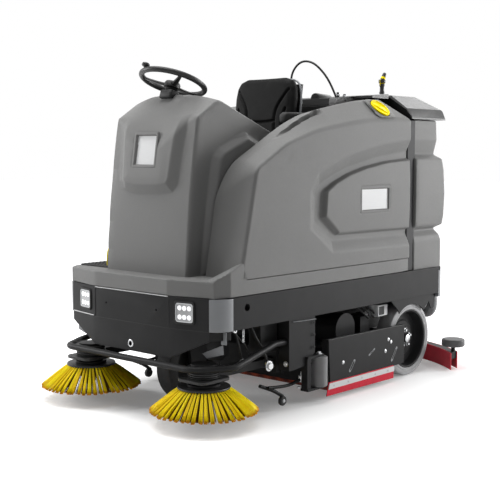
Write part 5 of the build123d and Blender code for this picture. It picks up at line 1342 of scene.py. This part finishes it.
def make_pad(name, node, origin, up, outline, half, radius, counts, seams, seam_width, seam_depth):
    """Seat pad: its field's skin in the plane of the seat's width and up, blown up, smoothed once and sewn."""
    across, up = unit(X), unit(up)
    normal = np.cross(across, up)
    corners = np.asarray(outline, float)
    (a0, b0), (a1, b1) = corners.min(0) - 0.01, corners.max(0) + 0.01
    thick = half + PAD_CROWN + 0.01
    inner = 0.35 * half
    margin = 0.42 * min(a1 - a0, b1 - b0)
    basis = np.stack([across, up, normal])

    def place(block_corners):
        return [[[tuple(origin + np.array(p) @ basis) for p in row] for row in side] for side in block_corners]
    shape = pad_field(outline, half, radius)

    def field(x, y, z):
        local = (np.stack([x, y, z], 1) - origin) @ basis.T
        return shape(local[:, 0], local[:, 1], local[:, 2])
    hull = place(block((a0, b0, -thick), (a1, b1, thick)))
    core = place(block((a0 + margin, b0 + margin, -inner), (a1 - margin, b1 - margin, inner)))
    item = moulded(name, hull, core, [even(count) for count in counts], field, VINYL, sharp=180)
    swell(item)
    smoother = item.modifiers.new("fine", "SUBSURF")
    smoother.levels = smoother.render_levels = 1
    bpy.context.view_layer.objects.active = item
    bpy.ops.object.modifier_apply(modifier=smoother.name)
    sew(item, origin, across, up, seams, seam_width, seam_depth)
    item.data.shade_smooth()
    settle(item, "seat", "seat_fabric", node)


def mirrored(line):
    """The same line on the other side of the seat's middle."""
    return [(-a, b) for a, b in line]


def make_back(foot, up):
    """Backrest with its wings' seams and a band across."""
    half = [(0.195, 0.004), (0.21, 0.03), (0.2185, 0.16), (0.2215, 0.34), (0.213, 0.395), (0.19, 0.432),
            (0.14, 0.45)]
    wing = [(0.105, 0.02), (0.112, 0.12), (0.1, 0.205), (0.106, 0.27), (0.15, 0.335), (0.182, 0.375)]
    band = [(-0.104, 0.205), (-0.05, 0.196), (0.05, 0.196), (0.104, 0.205)]
    side = [(0.15, 0.05), (0.16, 0.14), (0.15, 0.22), (0.172, 0.27)]
    seams = [mirrored(wing), wing, band, mirrored(side), side]
    make_pad("seat_back_pad", "seat_back", foot, up, half + mirrored(half[::-1]), 0.03, 0.026, (58, 64, 12), seams,
             0.0065, 0.012)


def make_edging(foot, up):
    """Pale strip round the back shell: a tube on a smooth line just behind the backrest."""
    outer = np.array([(0.214, 0.0), (0.2205, 0.1), (0.2235, 0.3), (0.213, 0.392), (0.188, 0.43), (0.135, 0.446)])
    outer = np.concatenate([outer, outer[::-1] * (-1, 1)])
    back = foot + np.cross(X, up) * -0.036
    path = back + outer[:, :1] * np.array([1.0, 0, 0]) + outer[:, 1:] * up
    strip = tube(smooth_path(path, 90), 0.006, 10, Y)
    dress("seat_edging", strip, GUARD, "seat", "seat_fabric", sharp=80)


def make_cushion():
    """Cushion with two seams along it and two across."""
    middle = np.array([0.0, aft(0.798), 1.197])
    front = [(-0.18, -0.192), (0.18, -0.192), (0.222, -0.165), (0.23, -0.12)]
    rear = [(0.23, 0.14), (0.214, 0.182), (0.18, 0.194), (-0.18, 0.194), (-0.214, 0.182), (-0.23, 0.14)]
    outline = front + rear + [(-0.23, -0.12), (-0.222, -0.165)]
    along = [(0.14, -0.18), (0.135, 0.0), (0.14, 0.18)]
    seams = [mirrored(along), along, [(-0.138, -0.06), (0.0, -0.055), (0.138, -0.06)],
             [(-0.138, 0.07), (0.0, 0.075), (0.138, 0.07)]]
    make_pad("seat_cushion_pad", "seat_cushion", middle, Y, outline, 0.036, 0.03, (60, 54, 12), seams, 0.007,
             0.01)


def make_armrests():
    """Armrests: rounded rectangles carried along Y, tucked in at both ends; (distance behind, low, high, tuck)."""
    stations = [(0.843, 1.462, 1.492, 0.006), (0.847, 1.455, 1.503, 0.002), (0.862, 1.453, 1.511, 0.0),
                (0.93, 1.4575, 1.5125, 0.0), (1.02, 1.46, 1.5125, 0.0), (1.09, 1.457, 1.5115, 0.0),
                (1.101, 1.46, 1.508, 0.003), (1.105, 1.466, 1.502, 0.008)]
    for side, word in ((1, "left"), (-1, "right")):
        middle = side * 0.24 + side * 0.0225
        rows = []
        for y, low, high, tuck in stations:
            profile = rounded_rect(0.045 - 2 * tuck, high - low, min(0.013, (high - low) / 2 - 0.002), 5)
            x, z = middle + profile[:, 0], (low + high) / 2 + profile[:, 1]
            rows.append(np.column_stack([x, np.full(len(profile), aft(y)), z]))
        pad = skin(np.array(rows)[:, ::-1])
        item = dress("armrest_pad_" + word, pad, MAT, "armrest_" + word, "armrest_foam", ("armrest_" + word,), 60)


def make_seat():
    """Backrest, cushion, edging and armrests; the backrest leans 8 degrees."""
    lean = radians(8.0)
    foot, up = np.array([0.0, aft(0.9734), 1.2664]), np.array([0.0, sin(lean), cos(lean)])
    make_back(foot, up)
    make_cushion()
    make_edging(foot, up)
    make_armrests()


# ------------------------------------------------------------------ wheels
def make_wheels():
    """Tyres and rims turned round their axles, and the rear hubs' bolts, nut and cap."""
    centre = np.array([0.0, aft(0.4), 0.19])
    tyre = [(0.1285, -0.049), (0.176, -0.0495), (0.186, -0.046), (0.1895, -0.038), (0.19, 0.0), (0.1895, 0.038),
            (0.186, 0.046), (0.176, 0.0495), (0.1285, 0.049)]
    tyre = turned(tyre, centre, X, 96, joined=True)
    dress("front_tyre_skin", tyre, TYRE_DARK, "front_wheel", "grey_tyre", ("front_tyre",))
    rim = [(0.03, -0.043), (0.052, -0.043), (0.056, -0.03), (0.11, -0.026), (0.118, -0.043), (0.128, -0.044),
           (0.128, 0.044), (0.118, 0.043), (0.11, 0.026), (0.056, 0.03), (0.052, 0.043), (0.03, 0.043)]
    rim = turned(rim, centre, X, 72, joined=True)
    dress("front_rim_skin", rim, BLACK, "front_wheel", "wheel_paint", ("front_rim",))
    tyre = [(0.1715, -0.098), (0.2, -0.0985), (0.212, -0.094), (0.2168, -0.084), (0.217, -0.05), (0.2168, -0.016),
            (0.212, -0.006), (0.203, -0.0015), (0.19, -0.0008), (0.187, -0.0035), (0.184, -0.0008), (0.1755, -0.001),
            (0.1715, -0.004)]
    rim = [(0.0255, -0.09), (0.168, -0.09), (0.1708, -0.086), (0.1708, -0.005), (0.167, -0.0045), (0.161, -0.0065),
           (0.1565, -0.018), (0.153, -0.048), (0.148, -0.056), (0.108, -0.0565), (0.1, -0.05), (0.072, -0.049),
           (0.067, -0.044), (0.0655, -0.034), (0.06, -0.031), (0.03, -0.031), (0.0255, -0.034)]
    for side, word in ((1, "left"), (-1, "right")):
        centre = np.array([side * 0.53, aft(1.684), 0.217])
        out = np.array([side, 0.0, 0.0])
        body = "rear_wheel_" + word
        ring = turned(tyre, centre, out, 120, joined=True)
        dress("rear_tyre_skin_" + word, ring, TYRE, body, "grey_tyre", ("rear_tyre_" + word,))
        disc = turned(rim, centre, out, 96, joined=True)
        dress("rear_rim_skin_" + word, disc, BLACK, body, "wheel_paint", ("rear_rim_" + word,))
        bolts = []
        for k in range(5):
            angle = k * 2 * pi / 5 + 0.3
            spot = np.array([-0.031 * side, 0.046 * cos(angle), 0.046 * sin(angle)])
            bolts.append(hex_bolt(centre + spot, out, 0.0085, 0.012))
        nut = turned([(0.024, -0.033), (0.024, -0.02), (0.02, -0.0165)], centre, out, 6)
        cap = turned([(0.024, -0.02), (0.0235, -0.0105), (0.0205, -0.0085), (0.004, -0.0075)], centre, out, 32)
        dress("hub_bolts_" + word, gather(nut, cap, *bolts), ZINC, body, "wheel_paint")


# ------------------------------------------------------------------ side brushes
TUFTS, STRANDS = 52, 70
TUFT_ROOT, TUFT_REACH = 0.1185, 0.142
TUFT_TOP, TUFT_FALL = 0.184, 0.1115
TIPS_LOWEST, TIPS_WIDEST = 0.0728, 0.2625


def make_tufts(word, middle, body, seed):
    """Bristle strands, each a three-sided bar along a path of five points, toned with painted shade and painted light.

    A strand's distance out grows with share^1.04 and its height falls with share^1.12, and both are
    kept within the brush's edge and foot.  Spot and way place it in its tuft; an inner row stands
    behind the tufts all round.
    """
    share = np.linspace(0.0, 1.0, 5)
    tuft = np.repeat(np.arange(TUFTS), STRANDS)
    count = len(tuft)
    angle = tuft * 2 * pi / TUFTS + seed.normal(0, 0.007, TUFTS)[tuft]
    inner = (np.arange(count) % STRANDS) >= STRANDS * 0.66
    spot, way = np.sqrt(seed.random(count)), seed.random(count) * 2 * pi
    beside, above = spot * np.cos(way), spot * np.sin(way)
    # the inner row stands even all round, its strands painted nearly black as painted shade, so only dark strands show
    # between the tufts
    angle = np.where(inner, seed.random(count) * 2 * pi, angle)
    lean = seed.normal(0, 0.012, TUFTS)[tuft]
    length = 1.0 - 0.04 * seed.random(TUFTS)[tuft] - 0.03 * seed.random(count) - 0.05 * inner
    s = share[None, :] * length[:, None]
    reach = (TUFT_REACH - 0.02 * inner[:, None]) * s ** 1.04
    out = TUFT_ROOT - 0.006 * inner[:, None] + reach + 0.0035 * above[:, None] * (0.6 + s)
    high = TUFT_TOP - TUFT_FALL * s ** 1.12 - 0.01 * inner[:, None] + 0.0028 * above[:, None]
    high = high + 0.0016 * seed.normal(0, 1, count)[:, None] * s ** 3
    high = np.maximum(high, TIPS_LOWEST)
    out = np.minimum(out, TIPS_WIDEST)
    sway = (lean[:, None] + 0.003 * seed.normal(0, 1, count)[:, None]) * 0.3 * s
    across = beside[:, None] * (0.0048 + 0.0048 * s) + sway
    turn = angle[:, None]
    x = middle[0] + out * np.cos(turn) - across * np.sin(turn)
    y = middle[1] + out * np.sin(turn) + across * np.cos(turn)
    path = np.stack([x, y, high], -1)
    radial = np.stack([np.cos(turn), np.sin(turn), np.zeros_like(turn)], -1)
    tangent = np.stack([-np.sin(turn), np.cos(turn), np.zeros_like(turn)], -1)
    up = np.array([0.0, 0.0, 1.0])
    thick = (0.0015 - 0.0002 * share)[None, :, None, None]
    rows, corners = len(share), 3
    corner = np.arange(corners) * 2 * pi / corners + pi / 2
    ring = np.cos(corner)[:, None] * tangent[:, :, None]
    ring = ring + np.sin(corner)[:, None] * (0.6 * up + 0.8 * radial)[:, :, None]
    points = path[:, :, None] + thick * ring
    base = (np.arange(count) * rows * corners)[:, None, None]
    i, j = np.arange(rows - 1)[None, :, None], np.arange(corners)[None, None, :]
    here, there, after = base + i * corners, base + (i + 1) * corners, (j + 1) % corners
    quads = np.stack([here + j, here + after, there + after, there + j], -1).reshape(-1, 4)
    tips = (base[:, 0] + (rows - 1) * corners + np.arange(corners)[None, :]).reshape(-1, 3)
    shape = points.reshape(-1, 3), quads.tolist() + tips.tolist()
    item = dress("brush_tufts_" + word, shape, BRISTLE, body, "yellow_bristle", ("brush_bristles_" + word,), 180)
    # tone differs at random per tuft and per strand; 0.15 * above paints a tuft's upper strands lighter (painted
    # light), and the inner row is painted nearly black (painted shade)
    tone = 0.15 + seed.random(TUFTS)[tuft] * 0.6 + 0.35 * seed.random(count) + 0.15 * above
    tone = np.where(inner, 0.12 * seed.random(count), 0.34 + 0.66 * np.clip(tone, 0, 1))
    data = np.zeros((count, rows, corners, 4), np.float32)
    data[..., 0] = tone[:, None, None]
    data[..., 1] = share[None, :, None]
    data[..., 3] = 1.0
    colour = item.data.attributes.new("strand", "FLOAT_COLOR", "POINT")
    colour.data.foreach_set("color", data.ravel())


def make_brush(side, word):
    """Hub disc, the tufts that lean out from under its rim, their dark seat, and the ribbed motor on its plate."""
    middle = np.array([side * 0.418, aft(0.088), 0.0])
    profile = [(0.07, 0.1425), (0.11, 0.143), (0.1115, 0.186), (0.1275, 0.1862), (0.128, 0.19),
               (0.1262, 0.1942), (0.02, 0.1945)]
    body = "side_brush_" + word
    disc = turned(profile, middle, Z, 72)
    dress("brush_disc_" + word, disc, PLASTIC, body, replaces=("brush_hub_" + word,))
    make_tufts(word, middle, body, np.random.default_rng(11 if side > 0 else 12))
    profile = [(0.112, 0.166), (0.121, 0.164), (0.123, 0.17), (0.12, 0.1855), (0.112, 0.1855)]
    seat = turned(profile, middle, Z, 66, joined=True)
    dress("brush_roots_" + word, seat, MATT, body, "yellow_bristle")
    ribs = [(0.06, 0.236)]
    for k in range(6):
        rise = 0.0095 * k
        ribs += [(0.07, 0.237 + rise), (0.0765, 0.2385 + rise), (0.0765, 0.242 + rise), (0.07, 0.244 + rise)]
    motor = turned(ribs + [(0.06, 0.294)], middle, Z, 48, joined=True)
    carrier = plate(rounded_rect(0.18, 0.2, 0.03), middle, X, Y, 0.219, 0.235, 0.002)
    dress("brush_motor_" + word, gather(motor, carrier), PLASTIC, "brush_arm_" + word, "black_steel")


# ------------------------------------------------------------------ suction hose
def make_suction_hose():
    """Ribbed hose: its radius follows a rounded sawtooth along the path; smooth cuffs at both ends."""
    route = [(0, 2.17, 0.24), (0, 2.17, 0.3), (0.01, 2.17, 0.35), (0.15, 2.178, 0.352), (0.285, 2.172, 0.302),
             (0.385, 2.144, 0.302), (0.424, 2.108, 0.4), (0.4, 2.095, 0.52), (0.4, 2.095, 0.69),
             (0.4, 2.06, 0.702), (0.4, 2.022, 0.7)]
    path = smooth_path(behind(route), 900)
    run = np.concatenate([[0], np.cumsum(np.linalg.norm(np.diff(path, axis=0), axis=1))])
    step, rib = 0.0018, 0.0098
    even_run = np.linspace(0, run[-1], int(run[-1] / step))
    path = np.stack([np.interp(even_run, run, path[:, k]) for k in range(3)], 1)
    ribbed = np.clip(np.minimum(even_run - 0.062, run[-1] - 0.055 - even_run) / 0.01, 0, 1)
    radius = 0.0322 + 0.0016 * ribbed * np.cos(even_run * 2 * pi / rib) + 0.0012 * (1 - ribbed)
    hose = tube(path, radius, 28, (0.0, 1.0, 0.02))
    dress("suction_hose_skin", hose, HOSE, slot="hose_grey", replaces=("suction_hose",), sharp=70)


# ------------------------------------------------------------------ spray gun
def make_gun():
    """Spray gun upright in its holder: turned holder, grip and slanted head, and the yellow ring, lever and collar."""
    foot = np.array([0.398, aft(1.566), 0.0])
    lean = np.array([0.0, 0.5, 0.866])
    profile = [(0.0145, 1.632), (0.0155, 1.64), (0.0125, 1.648), (0.012, 1.672), (0.015, 1.678), (0.015, 1.69),
               (0.01, 1.692)]
    holder = turned(profile, foot, Z, 28)
    grip = turned([(0.0165, 1.6925), (0.0195, 1.696), (0.0195, 1.712), (0.015, 1.7138)], foot, Z, 28)
    head_at = foot + (0.0, 0.002, 1.708)
    profile = [(0.0105, 0.0), (0.0122, 0.006), (0.0118, 0.03), (0.0098, 0.046), (0.007, 0.0498), (0.002, 0.05)]
    head = turned(profile, head_at, lean, 24)
    dress("gun_body", gather(holder, grip, head), PLASTIC, replaces=("spray_gun",), sharp=40)
    profile = [(0.0095, 0.006), (0.0136, 0.008), (0.0136, 0.02), (0.0095, 0.0215)]
    ring = turned(profile, head_at, lean, 28, joined=True)
    route = [foot + (0, -0.018, 1.712), foot + (0, -0.0195, 1.7), foot + (0, -0.0175, 1.68)]
    lever = tube(smooth_path(route, 10), 0.0018, 8, X)
    profile = [(0.013, 1.6905), (0.0172, 1.6915), (0.0172, 1.6955), (0.013, 1.6965)]
    collar = turned(profile, foot, Z, 28, joined=True)
    dress("gun_ring", gather(ring, lever, collar), YELLOW, sharp=40)


# ------------------------------------------------------------------ step mat, pedals and lever
def make_floor_controls():
    """Mat with rows of studs, two pedals with treads, and the yellow lever with its grip."""
    mat_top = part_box("step_mat")[1][2]
    pitch = 0.026
    bevelled("step_mat", 0.002)
    x, y = np.meshgrid(np.arange(-0.512, -0.318, pitch), aft(np.arange(0.136, 0.545, pitch)), indexing="ij")
    places = np.column_stack([x.ravel(), y.ravel(), np.full(x.size, mat_top)])
    stud = turned([(0.0085, -0.001), (0.0078, 0.0016), (0.0062, 0.0024)], (0, 0, 0), Z, 8)
    dress("mat_studs", spread(stud, places), MAT, slot="mat_rubber")
    pedals = []
    for x, width in ((-0.06, 0.088), (0.09, 0.068)):
        outline = [(0.356, 0.709), (0.438, 0.709), (0.438, 0.722), (0.383, 0.857), (0.371, 0.858), (0.356, 0.741)]
        pedals.append(side_plate(outline, x - width / 2, 0, width, 0.003))
        for k in range(6):
            share = 0.12 + 0.15 * k
            y, z = aft(0.438 - 0.055 * share) + 0.0015, 0.722 + 0.135 * share
            pedals.append(tube([(x - width / 2 + 0.008, y, z), (x + width / 2 - 0.008, y, z)], 0.0022, 8))
    dress("pedal_blocks", gather(*pedals), MAT, replaces=("foot_controls",))
    route = behind([(-0.345, 0.15, 0.7085), (-0.345, 0.15, 0.75), (-0.345, 0.155, 0.792), (-0.345, 0.18, 0.815)])
    arm = tube(smooth_path(route, 24), 0.0075, 14, X, flat=0.75)
    dress("lever_arm", arm, YELLOW, sharp=60)
    tip = smooth_path([route[-1], *behind([(-0.345, 0.192, 0.8225), (-0.345, 0.207, 0.832)])], 6)
    grip = tube(tip, [0.009, 0.0125, 0.0132, 0.0132, 0.012, 0.007], 16, X)
    dress("lever_grip", grip, PLASTIC, sharp=60)


# ------------------------------------------------------------------ scrub deck and small fittings
def make_deck_trim():
    """Clamp strips over the red lips, the deck's bolts, and near-black screens inside its wings as painted shade."""
    strips, bolts = [], []
    outline = [(0.868, 0.06), (1.48, 0.062), (1.48, 0.0915), (0.8765, 0.0915)]
    strips.append(side_plate(outline, 0.5622, 0, 0.0036, 0.001))
    for side in (1, -1):
        for k in range(5):
            bolts.append(hex_bolt((side * 0.5656, aft(0.915 + 0.125 * k), 0.076), (side, 0, 0), 0.0038, 0.003))
        for y, z in ((1.003, 0.184), (1.428, 0.251), (1.454, 0.233), (1.4, 0.188)):
            bolts.append(hex_bolt((side * 0.5575, aft(y), z), (side, 0, 0), 0.0075, 0.0045))
    dress("lip_clamps", gather(*both_sides(strips)), PLATE, "scrub_deck", "black_steel")
    dress("deck_bolts", gather(*bolts), ZINC, "scrub_deck", "black_steel")
    # near-black sheets where the deck's wings are in shade: painted shade
    screen = brick((0.312, aft(1.2), 0.316), (0.315, aft(1.44), 0.398), 0.0008)
    dress("deck_shade_screens", gather(*both_sides([screen])), MATT, "scrub_deck", "black_steel")


def slot_outline(start, end, half):
    """Outline of a slot: a half circle round its end, then one round its start."""
    turn = np.linspace(-pi / 2, pi / 2, 7)
    along = unit((end[0] - start[0], end[1] - start[1]))
    across = np.array([-along[1], along[0]])
    rounds = [half * (np.cos(t) * along + np.sin(t) * across) for t in turn]
    return [np.array(end) + spoke for spoke in rounds] + [np.array(start) - spoke for spoke in rounds]


def make_deck_plates():
    """The deck's side plates with a front flange, a folded top edge, and slots drawn as flat near-black insets,
    painted shade for the holes, with pale rims as painted highlights on their edges.
    """
    side = [(0.894, 0.08), (1.59, 0.092), (1.59, 0.314), (0.876, 0.322)]
    flange = [(0.8765, 0.088), (0.88, 0.088), (0.88, 0.3215), (0.8765, 0.3215)]
    plates = [side_plate(side, 0.55, 0, 0.007, 0.0014), side_plate(flange, 0.512, 0, 0.0405, 0.001)]
    section = np.array([(0.536, -0.003), (0.5545, -0.003), (0.5568, -0.0004), (0.555, 0.0022), (0.536, 0.0022)])
    folds = [skin([np.column_stack([section[:, 0], np.full(len(section), aft(y)), z + section[:, 1]])
                   for y, z in ((0.877, 0.3212), (1.589, 0.3132))])]
    # slots: flat near-black insets, painted shade where the holes are; rims: pale strips, painted highlights on the
    # slots' edges
    slots, rims = [], []
    for start, end, half in (((1.072, 0.136), (1.101, 0.171), 0.0058), ((1.472, 0.136), (1.505, 0.181), 0.0052),
                             ((1.256, 0.195), (1.282, 0.209), 0.0024)):
        ends = slot_outline(start, end, half)
        slots.append(side_plate(ends, 0.557, -0.002, 0.0003, 0.0001))
        middle = np.array([(start[0] + end[0]) / 2, (start[1] + end[1]) / 2])
        growth = 1.0 + 0.0022 / half
        wide = [middle + (end - middle) * growth + (end - middle) * 0.03 for end in ends]
        rims.append(side_plate(wide, 0.557, -0.002, 0.00015, 0.0001))
    for group, name, finish, stands in ((plates, "deck_plates", BLACK, ("deck_side_plates",)),
                                        (folds, "deck_fold", PLASTIC, ()), (slots, "deck_slot_shades", MATT, ()),
                                        (rims, "slot_edge_highlights", GUARD, ())):
        dress(name, gather(*both_sides(group)), finish, "scrub_deck", "black_steel", stands)


def make_fixings():
    """The frame's bolts on both sides, and the ring in the tow hole."""
    bolts = []
    for side in (1, -1):
        bolts.append(hex_bolt((side * 0.53, aft(0.56), 0.24), (0, -1, 0), 0.011, 0.008))
        bolts.append(turned([(0.016, 0.0), (0.016, 0.004), (0.009, 0.006), (0.009, 0.012), (0.004, 0.013)],
                            (side * 0.552, aft(0.803), 0.2603), Z, 24))
        bolts.append(hex_bolt((side * 0.54, aft(0.421), 0.253), (side, 0, 0), 0.019, 0.014))
    bush = turned([(0.0126, -0.006), (0.0195, -0.006), (0.0195, 0.0022), (0.017, 0.004), (0.0126, 0.004)],
                  (0.0, aft(0.0), 0.358), (0, -1, 0), 32, joined=True)
    dress("frame_bolts", gather(bush, *bolts), ZINC, slot="black_steel")


def make_under_front():
    """Guards, links and a caster between the side brushes and the brackets, the same on both sides."""
    right, up = X, Z
    shield = [(0.397, 0.344), (0.426, 0.323), (0.536, 0.355), (0.531, 0.4)]
    strap = [(0.516, 0.401), (0.552, 0.401), (0.552, 0.461), (0.516, 0.461)]
    bracket_top = [(0.587, 0.452), (0.767, 0.446), (0.767, 0.4485), (0.587, 0.4545)]
    pale = [plate(shield, (0, aft(0.103), 0), right, up, 0.0, 0.003, 0.0008),
            plate(strap, (0, aft(0.106), 0), right, up, 0.0, 0.003, 0.0008),
            side_plate(bracket_top, 0.56, -0.012, 0.0012, 0.0004)]
    steel = [hex_bolt((0.5602, aft(y), z), right, 0.006, 0.0035)
             for y, z in ((0.749, 0.431), (0.75, 0.368), (0.75, 0.303))]
    # sheet hanging from the frame, a box beside it, then links and cables down to the brush arm and the roller
    sheet = [(0.18, 0.462), (0.33, 0.462), (0.352, 0.3), (0.3, 0.272), (0.205, 0.29)]
    box = [(0.43, 0.3), (0.56, 0.3), (0.56, 0.462), (0.43, 0.462)]
    steel += [side_plate(sheet, 0.33, 0.0, 0.004, 0.001), side_plate(box, 0.395, 0.0, 0.08, 0.003)]
    for radius, *route in (
            (0.0052, (0.5, 0.215, 0.452), (0.505, 0.24, 0.38), (0.505, 0.262, 0.3)),
            (0.006, (0.47, 0.36, 0.462), (0.482, 0.385, 0.39), (0.52, 0.405, 0.33), (0.528, 0.421, 0.27)),
            (0.0042, (0.44, 0.25, 0.462), (0.452, 0.29, 0.4), (0.47, 0.33, 0.36), (0.48, 0.345, 0.3)),
            (0.006, (0.52, 0.59, 0.268), (0.528, 0.64, 0.225), (0.53, 0.7, 0.205), (0.533, 0.76, 0.214))):
        steel.append(rod(route, radius, 30))
    eyes = behind([(0.505, 0.262, 0.298), (0.528, 0.421, 0.268), (0.5, 0.215, 0.45)])
    bright = [square_ring(0.0045, 0.0105, 0.006, eye, right, 20) for eye in eyes]
    for k in range(9):
        place = (0.478, aft(0.3), 0.458 - 0.0092 * k)
        bright.append(square_ring(0.0032, 0.0064, 0.0016, place, right if k % 2 else Y, 12))
    # tie rod with its bright joint, running back to the bumper roller's bracket
    tie = [(0.492, 0.47, 0.128), (0.5, 0.56, 0.118), (0.508, 0.65, 0.121), (0.512, 0.7, 0.137)]
    steel.append(rod(tie, 0.0085, 24, 12))
    joint = [(0.004, -0.016), (0.013, -0.016), (0.015, -0.006), (0.015, 0.006), (0.013, 0.016), (0.004, 0.016)]
    bright.append(turned(joint, (0.512, aft(0.706), 0.139), up, 24, joined=True))
    bright.append(tube([(0.512, aft(0.706), 0.15), (0.514, aft(0.706), 0.176)], 0.005, 12, right))
    bright.append(hex_bolt((0.512, aft(0.686), 0.1), (0, 0, -1), 0.0075, 0.008))
    # caster on a bent arm
    arm = [(0.47, 0.43, 0.14), (0.48, 0.48, 0.121), (0.492, 0.54, 0.092), (0.494, 0.578, 0.066)]
    steel.append(rod(arm, 0.0095, 24, 12))
    tread = [(0.006, -0.011), (0.02, -0.011), (0.0245, -0.007), (0.0245, 0.007), (0.02, 0.011), (0.006, 0.011)]
    wheels = [turned(tread, (0.5, aft(0.57), 0.046), right, 32, joined=True)]
    bright.append(hex_bolt((0.5105, aft(0.57), 0.046), right, 0.0065, 0.005))
    for group, name, finish in ((steel, "under_steel", BLACK), (bright, "under_bright", ZINC),
                                (pale, "under_pale", GUARD), (wheels, "caster_wheels", TYRE_DARK)):
        dress(name, gather(*both_sides(group)), finish, slot="black_steel")


def make_engine_bay():
    """What shows between the deck and the beams: cables, a bright box, and a near-black tray and sheets inside the
    wheels, painted shade where the bay lies in shade.
    """
    # the tray and the sheets inside the wheels are near-black painted shade; the cables are black
    tray = brick((-0.3, aft(1.255), 0.372), (0.3, aft(1.6), 0.46), 0.004)
    dark = []
    for y, radius in ((1.3, 0.0065), (1.345, 0.0045), (1.385, 0.0055)):
        route = [(0.43, y - 0.05, 0.462), (0.455, y - 0.015, 0.425), (0.48, y + 0.015, 0.395),
                 (0.47, y + 0.055, 0.372)]
        dark.append(rod(route, radius, 24))
    frame_side = [(1.412, 0.384), (1.462, 0.384), (1.462, 0.432), (1.412, 0.432)]
    dark.append(side_plate(frame_side, 0.502, -0.002, 0.0012, 0.0004))
    # sheet inside the wheel: painted shade
    dark.append(brick((0.3, aft(1.593), 0.262), (0.303, aft(1.8), 0.464), 0.0008))
    dress("bay_cables_and_painted_shade", gather(tray, *both_sides(dark)), MATT, slot="black_steel")
    box = [(1.404, 0.376), (1.498, 0.376), (1.498, 0.44), (1.404, 0.44)]
    dress("bay_box", gather(*both_sides([side_plate(box, 0.43, 0.0, 0.072, 0.003)])), PLATE, slot="black_steel")


def make_deck_fittings():
    """A roll and four ringed posts on the top deck behind the seat."""
    profile = [(0.01, -0.066), (0.0265, -0.066), (0.0285, -0.06), (0.0285, 0.06), (0.0265, 0.066), (0.01, 0.066)]
    steel = [turned(profile, (0.175, aft(1.295), 1.601), (0, 1, -0.04), 36)]
    bright = []
    low = 1.585
    for x, y, high in ((0.284, 1.284, 1.6085), (0.262, 1.33, 1.632), (0.292, 1.352, 1.626), (0.23, 1.372, 1.64)):
        place = (x, aft(y), 0.0)
        post = [(0.0135, low), (0.0135, low + 0.008), (0.0085, low + 0.011), (0.0085, high - 0.006), (0.007, high)]
        steel.append(turned(post, place, Z, 20))
        ring = [(0.0088, high - 0.014), (0.0108, high - 0.013), (0.0108, high - 0.007), (0.0088, high - 0.006)]
        bright.append(turned(ring, place, Z, 20, joined=True))
    dress("deck_posts", gather(*steel), PLASTIC)
    dress("post_rings", gather(*bright), ZINC)


def finish_nodes():
    """Every CAD node that still shows gets its finish."""
    for node, item in frame["nodes"].items():
        for slot in item.material_slots:
            slot.material = BY_SLOT[SLOT_OF[node]]


# ------------------------------------------------------------------ making
make_spray_hose()
make_tower()
make_tank(1, "left_tank_skin", "left_tank", None, [(0.0, 64), (0.37, 100), (0.6, 70), (1.0, 0)])
make_tank(-1, "right_tank_skin", "right_tank", 0.7, [(0.0, 110), (0.38, 70), (1.0, 0)])
make_rear_tank()
make_platform()
make_filler_cap()
make_plates()
make_steering_wheel()
make_lamps()
make_front()
make_seat()
make_wheels()
make_brush(1, "left")
make_brush(-1, "right")
make_suction_hose()
make_gun()
make_floor_controls()
make_deck_trim()
make_deck_plates()
make_fixings()
make_under_front()
make_engine_bay()
make_deck_fittings()
finish_nodes()
